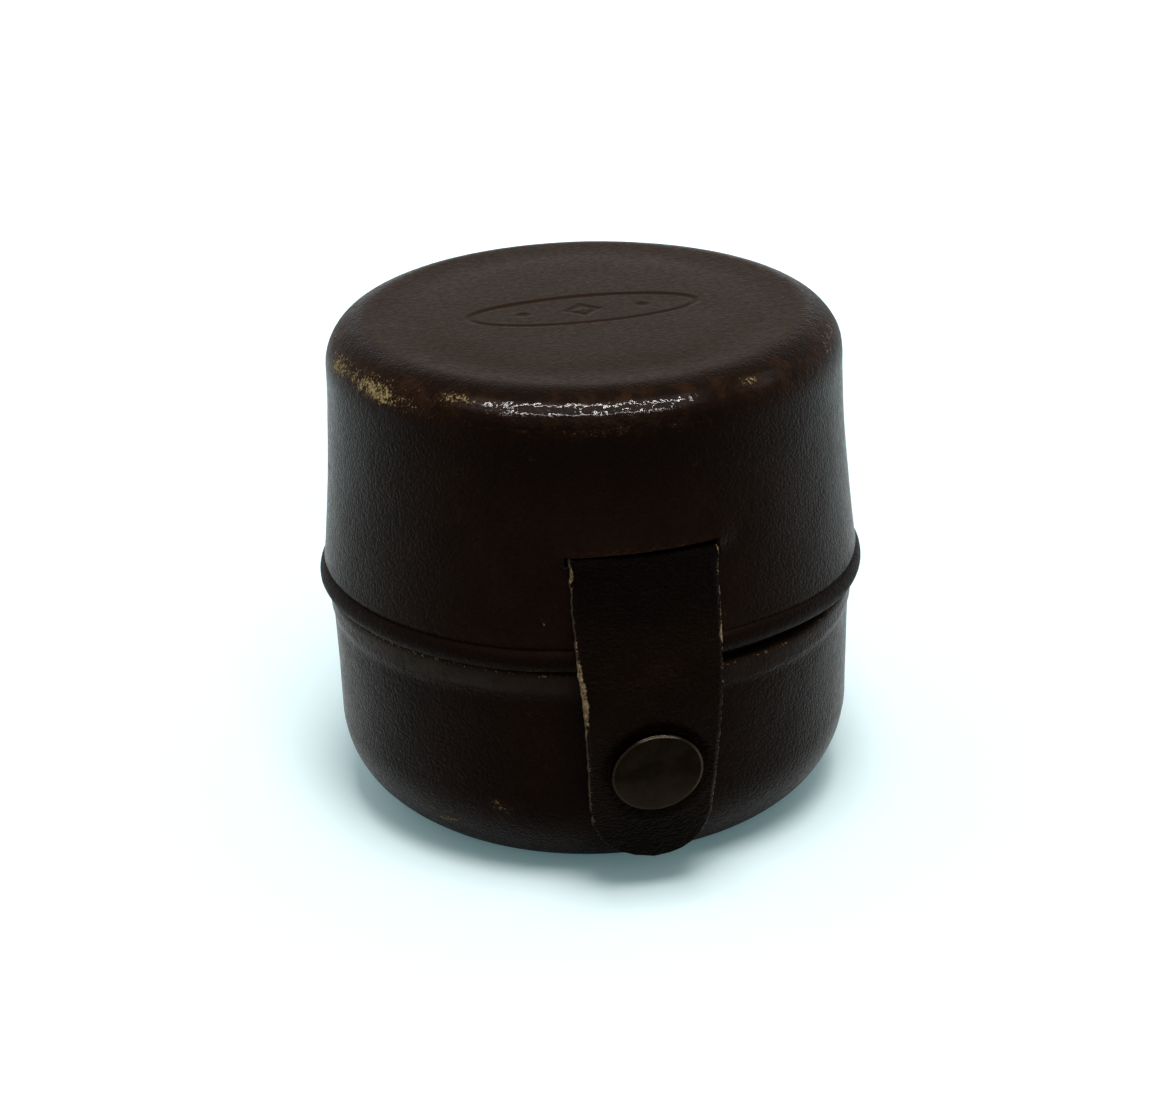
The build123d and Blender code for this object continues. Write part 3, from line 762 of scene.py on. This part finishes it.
base_inner = [(r, LEATHER) for r in (0, 6, 13, 18)]
base_inner += arc((CORE - inside_arc, FOOT_RISE), inside_arc, inside_end, 0, 12)
base_inner += upright(CORE, FOOT_RISE + 1.5, BASE_TOP - 0.3, 1.5)
base_outer = [(CORE + 0.25, BASE_TOP - 0.02), (CORE + 1.0, BASE_TOP), (BAND_RADIUS - BAND_ROUND, BASE_TOP)]
base_outer += arc((BAND_RADIUS - BAND_ROUND, BASE_TOP - BAND_ROUND), BAND_ROUND, 90, 0, 7)[1:]
base_outer += upright(BAND_RADIUS, 26.4, 24.9, 0.36)
base_outer += [(BAND_RADIUS - 0.02, 24.6), (BAND_RADIUS - 0.08, 24.3), (BAND_RADIUS - 0.16, 24.0)]
base_outer += [(BASE_RIM + 0.03, BAND_FOOT)]
flare = (BASE_RIM - BASE_WALL) / (BAND_FOOT - FOOT_RISE)
base_outer += [(BASE_WALL + flare * (z - FOOT_RISE), z) for z in even_heights(23.4, FOOT_RISE, 0.4)]
base_outer += arc((BASE_WALL - bottom_arc, FOOT_RISE), bottom_arc, 0, bottom_end, 36)[1:]
base_outer += [(21.0, 0.03), (19.5, 0.12), (15, 0.22), (8, 0.25), (0, 0.25)]


def rim_dip(angle):
    """How far the base's rim dips at the front right."""
    return 0.8 * between(0.02, 0.32, 0.6, 1.15, angle)


def base_shape(radius, height, angle):
    """Makes the base's section wavy, dips its rim and flattens it where the stud sits."""
    outside = np.ones_like(radius)
    outside[: len(base_inner) - 1] = 0
    points = around(radius, height, angle)
    x, y = points[..., 0], points[..., 1]
    at_stud = smooth(6.5, 4.0, np.hypot(x, height - SNAP_HEIGHT)) * (y < 0)
    wall = outside * between(0.5, 4.0, BASE_TOP - 0.3, BASE_TOP, height) * (1 - at_stud)
    radius = radius + wall * (0.14 * grain(points, 0.06, 3, 31.0) + 0.012 * grain(points, 0.42, 3, 37.0))
    height -= outside * rim_dip(angle) * smooth(BAND_FOOT - 5.0, BASE_TOP, height)
    seat = STUD_SEAT / np.maximum(np.cos(angle), 0.5)
    under = (np.hypot(x, height - SNAP_HEIGHT) < 3.7) & (y < 0) & (outside > 0)
    radius = np.where(under, np.minimum(radius, seat), radius)
    return radius, height


def make_base():
    points, faces = turned(base_inner + base_outer, even_angles(BASE_COLUMNS), base_shape)
    obj = make_mesh("base_leather", points, faces, [outside_leather], sharp=55)
    x, y, z = points.T
    angle = np.arctan2(x, -y)
    radius = np.hypot(x, y)
    # Height as it would be without the dip of the rim
    level = z + rim_dip(angle)
    rim = bump_at(BASE_TOP - 0.25, 0.3, level) * smooth(30.3, 30.6, radius)
    wear = rim * (0.36 + 0.12 * bump_at(-0.9, 0.4, angle)) + 0.16 * bump_at(25.6, 1.4, level)
    wear += 0.26 * bump_at(3.4, 1.2, z) * smooth(23.5, 26.0, radius)
    # Two scratches at the front left, the first of them slanting
    wear += 0.7 * bump_at(-0.84, 0.1, angle) * bump_at(5.7 + 6 * (angle + 0.84), 0.35, z)
    wear += 0.45 * bump_at(-0.56, 0.05, angle) * bump_at(9.4, 1.8, z)
    wear += 0.2 * smooth(0.34, 0.6, grain(points, 0.2, 2, 77.0))
    paint(obj, "wear", wear)
    paint(obj, "matte", smooth(25.9, 26.6, level))
    band = smooth(24.2, 25.0, level) * smooth(30.0, 30.5, radius)
    paint(obj, "dust", band * (0.25 + 0.75 * bump_at(-0.95, 0.5, angle)))
    # Painted shade: the base is painted darker towards its bottom, where it turns under into shade
    paint(obj, "deep", 0.85 * smooth(8.0, 3.5, z))
    return obj


base_leather = make_base()
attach(base_leather, "base")
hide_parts("base_shell")


# Strap: its tail behind the wall, its neck in the slot, and the bowed outside part

# The strap's left and right edges, as height and distance from the middle
LEFT_EDGE = (
    (4.9, 0.0), (5.25, 2.2), (6.1, 4.3), (7.6, 6.0), (9.4, 6.92), (12.1, 7.3), (15.3, 7.5), (19.1, 7.7),
    (22.8, 7.9), (26.3, 8.08), (29.5, 8.3), (60, 8.3),
)
RIGHT_EDGE = (
    (4.9, 0.0), (5.05, 1.9), (5.5, 3.35), (6.3, 4.55), (7.3, 5.45), (8.5, 6.1), (10.2, 6.55), (12.75, 6.75),
    (15.9, 6.9), (19.65, 7.1), (23.25, 7.35), (26.75, 7.68), (31.3, 8.0), (35.7, 8.2), (60, 8.3),
)

# The strap's middle line from its tail's end to the slot, as y and z
STRAP_TAIL = (
    (-28.17, 51.5), (-28.17, 47.0), (-28.17, 43.4), (-28.35, 41.6), (-28.9, 40.85), (-29.8, 40.7),
    (-30.35, 40.62),
)

# The strap's outside below the slot, as y and z: it bulges over the bead and leans in to its tip
STRAP_FACE = (
    (-31.2, 40.35), (-31.7, 38.7), (-32.7, 35.6), (-33.85, 32.3), (-34.8, 29.0), (-35.45, 26.0),
    (-35.65, 23.2), (-35.42, 20.2), (-34.86, 17.0), (-34.2, 13.8), (-33.5, 10.6), (-32.82, 7.4), (-32.3, 4.7),
)

# Worn marks along the strap's edges: height, width and strength. Clumps reach further in
LEFT_CLUMPS = ((26.5, 3.6, 1.0), (39.6, 0.7, 0.4))
RIGHT_CLUMPS = ((31.8, 0.7, 0.6),)
LEFT_WEAR = ((26.5, 4.0, 0.5), (39.4, 1.0, 0.5), (13.0, 5.0, 0.12))
RIGHT_WEAR = ((31.8, 0.9, 0.35), (14.0, 1.2, 0.2))


def strap_line():
    """The strap's middle line, from its tail's end to its tip, as y and z."""
    face = spline(STRAP_FACE, 0.5)
    neck = NECK_THICKNESS / 2
    depth = neck + (STRAP_THICKNESS / 2 - neck) * smooth(40.3, 36.0, face[:, 1])
    bowed = face - square_to(face) * depth[:, None]
    return spline([*STRAP_TAIL, *bowed[::6], bowed[-1]], 0.24)


def strap_grids(line, run, shares):
    """The points of the strap's outside and inside, in rows from its tail's end to its tip."""
    out = square_to(line)
    # The outside is at the front on the bow and above on the neck
    out *= np.where(out[:, 0] > 0, -1, 1)[:, None]
    heights = line[:, 1:]
    run = run[:, None]
    thick = TAIL_THICKNESS + (NECK_THICKNESS - TAIL_THICKNESS) * smooth(8.0, 9.5, run)
    thick += (STRAP_THICKNESS - NECK_THICKNESS) * smooth(13.2, 17.5, run)
    free = smooth(12.5, 15.0, run)
    sides = []
    for edge, fray, place, seed in ((LEFT_EDGE, 0.13, 0, 3.0), (RIGHT_EDGE, 0.07, 9, 13.0)):
        reach = np.where(run < 11.5, TAIL_HALF_WIDTH, np.interp(heights, *zip(*edge)))
        frayed = fray * free * grain([[(place, 0, z)] for z in line[:, 1]], 0.9, 4, seed)
        sides.append((np.maximum(reach, 0.02), frayed))
    (left, fray_left), (right, fray_right) = sides
    x = (right - left) / 2 + shares * (left + right) / 2
    x += np.where(shares < 0, fray_left, fray_right) * np.abs(shares) ** 3
    curl = 0.012 * free * (1 - 0.75 * smooth(34, 20, heights))
    half = thick / 2 * (1 - 0.34 * smooth(0.94, 1.0, np.abs(shares)) * free)
    return strip_grids(line, out, x, half, curl * x * x)


def press_strap(outside, inside, visible):
    """Presses the cap's dimple into the strap, ripples it, and flattens it where the socket sits."""
    reach = np.hypot(outside[..., 0], outside[..., 2] - CAP_HEIGHT)
    upper = smooth(-2.0, 4.0, outside[..., 2] - CAP_HEIGHT)
    press = smooth(6.9 - 0.4 * upper, 5.15, reach) * visible
    outside[..., 1] += press * (0.42 + 0.3 * upper)
    outside[..., 1] += visible * 0.06 * grain(outside, 0.35, 3, 61.0) * (1 - press)
    flat = smooth(6.4, 4.3, np.hypot(inside[..., 0], inside[..., 2] - SNAP_HEIGHT)) * visible
    inside[..., 1] += flat * (SOCKET_SEAT - inside[..., 1])


def make_strap():
    line = strap_line()
    run = lengths_along(line)
    rows, columns = len(line), 65
    even = np.linspace(-1, 1, columns)
    shares = 0.45 * even + 0.55 * np.sin(even * pi / 2)
    grids = strap_grids(line, run, shares)
    press_strap(*grids, visible=(run > 13)[:, None])
    points = grids.reshape(-1, 3)
    faces, kinds = strip_faces(rows, columns)
    obj = make_mesh("strap_leather_piece", points, faces, [strap_face, cut_edge], kinds, sharp=48)
    x, y, z = points.T
    side = np.tile(shares, 2 * rows)
    clump = np.where(side < 0, marks(LEFT_CLUMPS, z), marks(RIGHT_CLUMPS, z))
    rim = smooth(0.965 - 0.07 * clump, 0.995 - 0.02 * clump, np.abs(side))
    rim *= np.repeat(np.tile(run > 12, 2), columns)
    paint(obj, "wear", np.where(side < 0, 0.36 + marks(LEFT_WEAR, z), 0.52 + marks(RIGHT_WEAR, z)) * rim)
    paint(obj, "polish", 0.5 * bump_at(9.0, 4.0, z))
    # Painted shade: the strap is painted darker at its top, in the lip's shadow below the slot, and towards
    # its tip near the floor
    paint(obj, "deep", (0.9 * smooth(28.0, 37.0, z) + 0.6 * smooth(13.0, 8.0, z)) * (y < 0))
    return obj


strap_piece = make_strap()
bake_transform(strap_piece)
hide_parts("closure_strap", "strap_tail")


# Press stud cap

def make_cap():
    """A slightly crowned cap with a rolled rim, leaning forward at its top."""
    section = [(0.0, 0.97), (1.2, 0.965), (2.4, 0.93), (3.4, 0.87), (4.1, 0.8), (4.5, 0.745)]
    section += [(4.68, 0.72), (4.78, 0.725)]
    section += [(5.01 + 0.24 * sin(a), 0.55 + 0.24 * cos(a)) for a in np.linspace(-0.7, pi / 2, 9)]
    section += [(5.25, 0.2), (5.2, 0.02), (4.6, -0.05), (2.0, -0.05), (0.0, -0.05)]

    def dented(radius, height, angle):
        spots = np.stack([radius * np.sin(angle), height, radius * np.cos(angle)], -1)
        return radius, height + 0.02 * grain(spots, 0.33, 3, 91.0) * (height > 0.4)

    points, faces = turned(section, even_angles(144), dented)
    lean = radians(CAP_TILT)
    x, up, out = points.T
    y = CAP_SEAT - out * cos(lean) - up * sin(lean)
    z = CAP_HEIGHT + up * cos(lean) - out * sin(lean)
    obj = make_mesh("snap_cap_face", np.stack([x, y, z], -1), faces, [cap_metal], sharp=60)
    # Painted highlight: the rim is rubbed a little all round, and painted much brighter at its top and
    # somewhat on its right, where highlights fall
    rim = 0.09 + 0.9 * smooth(4.4, 4.95, up) + 0.22 * smooth(3.4, 4.6, x)
    rim *= bump_at(5.05, 0.1, np.hypot(x, up))
    # Painted reflection: the lower part of the face is painted a little lighter, as the floor's reflection
    paint(obj, "wear", (0.05 * smooth(0.5, -4.0, up) + rim) * (out > 0.6))
    return obj


cap = make_cap()
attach(cap, "strap")
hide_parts("snap_cap")


# Hinge: one piece of leather over the back of both halves, sewn at each end

def hinge_line():
    """The middle line of the hinge leather up the back, as y and z."""
    off = HINGE_LEATHER / 2 + 0.05
    path = [(BASE_WALL + off, HINGE_LOW), (BASE_WALL + off + 0.15, 16.0), (BASE_WALL + off + 0.3, 22.0)]
    path += [(BAND_RADIUS + off, 24.6), (BAND_RADIUS + off + 0.3, 25.9), (HINGE_Y - 0.15, 27.0)]
    path += [(BEAD_RADIUS + off + 0.1, 28.4), (BEAD_RADIUS + off - 0.15, 29.5), (HEM_WALL + off + 0.05, 31.2)]
    path += [(wall_radius(z) + off, z) for z in (33.5, 37.0, 41.0, HINGE_HIGH)]
    return spline(path, 0.3)


def round_back(x, y, z):
    """How far a strip laid across the round back falls away from its middle."""
    at_fold = 0.75 * bump_at(HINGE_Z, 2.2, z)
    return (y - np.sqrt(y * y - x * x)) * (1 - at_fold)


def make_hinge():
    line = hinge_line()
    out = square_to(line)
    out *= np.sign(out[:, 0])[:, None]
    half = HINGE_WIDTH / 2
    columns = 41
    y, z = line.T[..., None]
    past = np.maximum(HINGE_ROUND - np.minimum(z - HINGE_LOW, HINGE_HIGH - z), 0)
    inset = HINGE_ROUND - np.sqrt(np.maximum(HINGE_ROUND**2 - past**2, 0))
    x = np.linspace(-1, 1, columns) * (half - inset)
    thin = 1 - 0.35 * smooth(0.93, 1.0, np.abs(x) / half)
    grids = strip_grids(line, out, x, HINGE_LEATHER / 2 * thin, -round_back(x, y, z))
    grids[0, ..., 1] += 0.05 * grain(grids[0], 0.3, 3, 71.0)
    points = grids.reshape(-1, 3)
    faces, kinds = strip_faces(len(line), columns)
    obj = make_mesh("hinge_leather_piece", points, faces, [hinge_face, cut_edge], kinds, sharp=48)
    x, y, z = points.T
    paint(obj, "wear", 0.3 * bump_at(HINGE_Z, 1.8, z) + 0.22 * smooth(7.6, 8.5, np.abs(x)))
    paint(obj, "polish", 0.6 * bump_at(HINGE_Z, 3.0, z))
    return obj


hinge_piece = make_hinge()
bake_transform(hinge_piece)
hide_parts("hinge_lower_leather", "hinge_upper_leather")

STITCH_RADIUS = 0.24
STITCH_LENGTH = 1.75
STITCH_PITCH = 2.4
STITCH_INSET = 1.4


def stitch(points, faces, spot, way, out):
    """Adds one stitch: a short thick thread that dips into the leather at both ends."""
    sides, steps = 10, 11
    way, out = way / np.linalg.norm(way), out / np.linalg.norm(out)
    across = np.cross(way, out)
    start = len(points)
    for t in np.linspace(-1, 1, steps):
        girth = STITCH_RADIUS * sqrt(max(1 - 0.75 * t**6, 0.05))
        centre = spot + way * t * STITCH_LENGTH / 2 + out * (0.16 - 0.34 * t**4)
        for k in range(sides):
            a = 2 * pi * k / sides
            points.append(centre + girth * (across * cos(a) + out * sin(a)))
    for i in range(steps - 1):
        a = start + i * sides
        for k in range(sides):
            m = (k + 1) % sides
            faces.append((a + sides + k, a + sides + m, a + m, a + k))
    last = start + (steps - 1) * sides
    faces.append(tuple(range(start, start + sides)))
    faces.append(tuple(range(last, last + sides))[::-1])


def make_stitches(name, low, high, end_row):
    """Sewing along both sides and the far end of one hinge half."""
    line = hinge_line()
    half_row = HINGE_WIDTH / 2 - STITCH_INSET
    points, faces = [], []

    def back_at(z):
        return np.interp(z, line[:, 1], line[:, 0])

    def seat(x, z):
        """A spot on the hinge, the way up along it and the way out of it."""
        y = back_at(z)
        slope = back_at(z + 0.5) - back_at(z - 0.5)
        spot = np.array([x, y + HINGE_LEATHER / 2 - round_back(x, y, z), z])
        return spot, np.array([0.0, slope, 1.0]), np.array([x / y, 1.0, -slope])

    count = int((high - low) / STITCH_PITCH)
    first = (low + high - (count - 1) * STITCH_PITCH) / 2
    for side in (-1, 1):
        for i in range(count):
            spot, up, out = seat(side * half_row, first + i * STITCH_PITCH)
            lean = np.array([0.09 * (1 if i % 2 else -1), 0, 0])
            stitch(points, faces, spot, up + lean, out)
    across = int((2 * half_row - STITCH_LENGTH) / STITCH_PITCH)
    for i in range(across):
        spot, up, out = seat((i - (across - 1) / 2) * STITCH_PITCH, end_row)
        stitch(points, faces, spot, np.cross(out, up), out)
    return make_mesh(name, np.array(points), faces, [sewing], sharp=60)


lower_stitches = make_stitches("base_sewing", 12.9, 23.4, 12.1)
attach(lower_stitches, "base")
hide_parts("hinge_lower_stitches")
upper_stitches = make_stitches("lid_sewing", 31.6, 42.3, 43.05)
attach(upper_stitches, "lid")
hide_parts("hinge_upper_stitches")


# Inside: collar, linings and cards

def make_inside(name, outline, body, node, lumps, seed, material=lining_cloth,
                poles=False):
    """A turned piece with slight lumps, on its height where it has poles and else on its radius."""

    def soft(radius, height, angle):
        slow = lumps * grain(around(radius, height, angle), 0.13, 3, seed)
        return (radius, height + slow) if poles else (radius + slow, height)

    points, faces = turned(outline, even_angles(240), soft, poles)
    obj = make_mesh(name, points, faces, [material])
    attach(obj, body)
    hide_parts(node)
    return obj


collar = upright(COLLAR_INSIDE, COLLAR_FOOT, COLLAR_SHOULDER, 2.5)
collar += arc((COLLAR_INSIDE + COLLAR_ROUND, COLLAR_SHOULDER), COLLAR_ROUND, 180, 90, 5)[1:]
collar += arc((COLLAR_OUTSIDE - COLLAR_ROUND, COLLAR_SHOULDER), COLLAR_ROUND, 90, 0, 5)
collar += upright(COLLAR_OUTSIDE, COLLAR_SHOULDER - 0.5, COLLAR_FOOT, 2.5)
make_inside("inner_collar_card", collar, "base", "inner_collar", 0.03, 5.0, board)

collar_cover = upright(25.56, COLLAR_FOOT + 0.05, 33.2, 0.9)
collar_cover += arc((25.85, 33.3), 0.28, 180, 0, 7)
collar_cover += upright(26.13, 33.0, COLLAR_FOOT + 0.05, 2.5)
collar_cloth = make_inside("collar_lining_cloth", collar_cover, "base", "collar_lining", 0.02, 6.0)


def turn_up(reach, floor):
    """The lining's rise along the rounded bottom, from the floor up."""
    start = np.degrees(np.arcsin((floor - FOOT_RISE) / reach))
    return arc((CORE - inside_arc, FOOT_RISE), reach, start, -0.4, 14)


floor_low, floor_high = FLOOR_CLOTH
floor_cover = [(r, floor_high) for r in (0, 2.5, 5, 8, 12, 16, 19.5)]
floor_cover += turn_up(inside_arc - 0.65, floor_high)
floor_cover += turn_up(inside_arc - 0.05, floor_low)[::-1] + [(r, floor_low) for r in (15, 8, 0)]
floor_node = "base_floor_lining"
floor_cloth = make_inside("floor_lining_cloth", floor_cover, "base", floor_node, 0.03, 7.0, poles=True)

wall_cover = upright(27.28, 35.4, 53.9, 0.9)
wall_cover += [(27.34, 54.08), (27.66, 54.08)]
wall_cover += upright(27.73, 53.9, 35.5, 2.5)
wall_cover += [(27.66, 35.25), (27.36, 35.22)]
wall_cloth = make_inside("lid_wall_cloth", wall_cover, "lid", "lid_wall_lining", 0.02, 8.0)

top_low, top_high = TOP_CLOTH
top_cover = [(r, top_high) for r in (0, 6, 12, 18, 23, 24.9)]
top_cover += [(25.15, 56.2), (25.18, 55.98), (24.95, 55.84)]
top_cover += [(r, top_low) for r in (23, 20, 16, 12, 8, 5, 2.5, 0)]
top_cloth = make_inside("lid_top_cloth", top_cover, "lid", "lid_top_lining", 0.03, 9.0, poles=True)


# The CAD's own pieces that stay get their finish

def finish_nodes(material, nodes):
    for node in nodes:
        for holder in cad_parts[node].material_slots:
            holder.material = material


finish_nodes(board_cad, ("base_card_ring", "base_floor_board", "lid_card_ring", "lid_top_card"))
finish_nodes(brass, ("snap_stud", "snap_rivet", "snap_socket", "snap_spring"))


# Floor, light and camera

def floor_paper():
    """White paper. Rays that see it also get a little light of its own, more so far away."""
    n = Surface("floor_paper")
    known, seeing = n.rays()
    colour = n.mixed(n.speckle(0.5), rgb(0.92, 0.975, 0.985), rgb(0.94, 0.99, 1.0))
    colour = n.mixed(known["Is Camera Ray"], colour, rgb(0.9, 1.0, 1.015))
    # Light that comes back off the floor onto the case is held down
    colour = n.mixed(known["Is Diffuse Ray"], colour, rgb(0.16, 0.16, 0.16))
    away = n.add("VectorMath", {0: n.place}, operation="LENGTH").outputs["Value"]
    far = n.mapped(away, 90, 400)
    lift = n.plus(far, n.times(known["Is Camera Ray"], 0.11))
    tint = n.mixed(far, rgb(0.5, 0.95, 1.0), rgb(1, 1, 1))
    own = {"Emission_Color": tint, "Emission_Strength": n.times(seeing, lift)}
    return n.finish(colour, 0.95, Specular_IOR_Level=0.0, **own)


def make_floor():
    steps = np.radians(np.arange(0, 360, 3))
    points = [(0, 0, 0)] + [(r * cos(a), r * sin(a), 0) for r in (300, 2500) for a in steps]
    n = len(steps)
    faces = [(0, 1 + i, 1 + (i + 1) % n) for i in range(n)]
    faces += [(1 + i, 1 + n + i, 1 + n + (i + 1) % n, 1 + (i + 1) % n) for i in range(n)]
    make_mesh("floor", points, faces, [floor_paper()])


def make_world():
    """White at the horizon and greyer overhead, where rays see it.

    As a light it is twice as bright behind and above the case as in front of it.
    """
    world = bpy.data.worlds.new("studio")
    bpy.context.scene.world = world
    world.use_nodes = True
    world.node_tree.nodes.clear()
    n = Nodes(world.node_tree)
    way = n.add("TexCoord").outputs["Generated"]
    axes = n.add("SeparateXYZ", {0: way}).outputs
    behind = n.mapped(axes["Y"], -0.8, 0.6, 0.3, 0.6)
    above = n.mapped(axes["Z"], 0.45, 1.0, 0.0, 0.6)
    level = n.maths("MAXIMUM", (behind, above))
    light = n.add("Background", {"Color": rgb(0.86, 0.97, 1.0), "Strength": level})
    height = n.mapped(axes["Z"], 0.12, 0.5, 1.0, 0.72)
    white = n.add("Background", {"Color": rgb(1, 1, 1), "Strength": height})
    seeing = n.rays()[1]
    both = n.add("MixShader", {0: seeing, 1: light.outputs[0], 2: white.outputs[0]})
    n.add("OutputWorld", {"Surface": both.outputs[0]})


def lamp(name, spot, aim, size, power, soft):
    """A rectangular lamp, in metres. A soft one isn't mirrored, and the others only are."""
    light = bpy.data.lights.new(name, "AREA")
    light.shape = "RECTANGLE"
    light.size, light.size_y = size
    light.energy = power
    light.color = (1.0, 0.985, 0.96)
    obj = bpy.data.objects.new(name, light)
    bpy.context.scene.collection.objects.link(obj)
    obj.location = spot
    obj.rotation_euler = (Vector(aim) - Vector(spot)).to_track_quat("-Z", "Y").to_euler()
    obj.visible_glossy = not soft
    obj.visible_diffuse = soft


make_floor()
make_world()
lamp("strip_lamp_high", (-0.047, -0.238, 0.846), (0, 0, 0.05), (1.0, 0.014), 6.0, soft=False)
lamp("strip_lamp_low", (-0.1, -0.508, 0.712), (0, 0, 0.05), (1.0, 0.014), 6.0, soft=False)
lamp("soft_box", (0.0, -0.3, 0.97), (0, 0, 0.03), (0.34, 0.7), 8.0, soft=True)

# The camera's place in metres and its turns about X, Y and Z in degrees
CAMERA_PLACE = (-0.068817, -0.347552, 0.1803)
CAMERA_TURNS = (66.75483, 1.555618, -11.811299)

camera = bpy.data.cameras.new("camera")
camera.sensor_width = 36
camera.sensor_fit = "HORIZONTAL"
camera.lens = 99.3
camera.clip_start = 0.01
seen_from = bpy.data.objects.new("camera", camera)
bpy.context.scene.collection.objects.link(seen_from)
turn = Euler([radians(a) for a in CAMERA_TURNS]).to_matrix().to_4x4()
seen_from.matrix_world = Matrix.Translation(Vector(CAMERA_PLACE)) @ turn
bpy.context.scene.camera = seen_from
bpy.context.scene.view_settings.view_transform = "Standard"
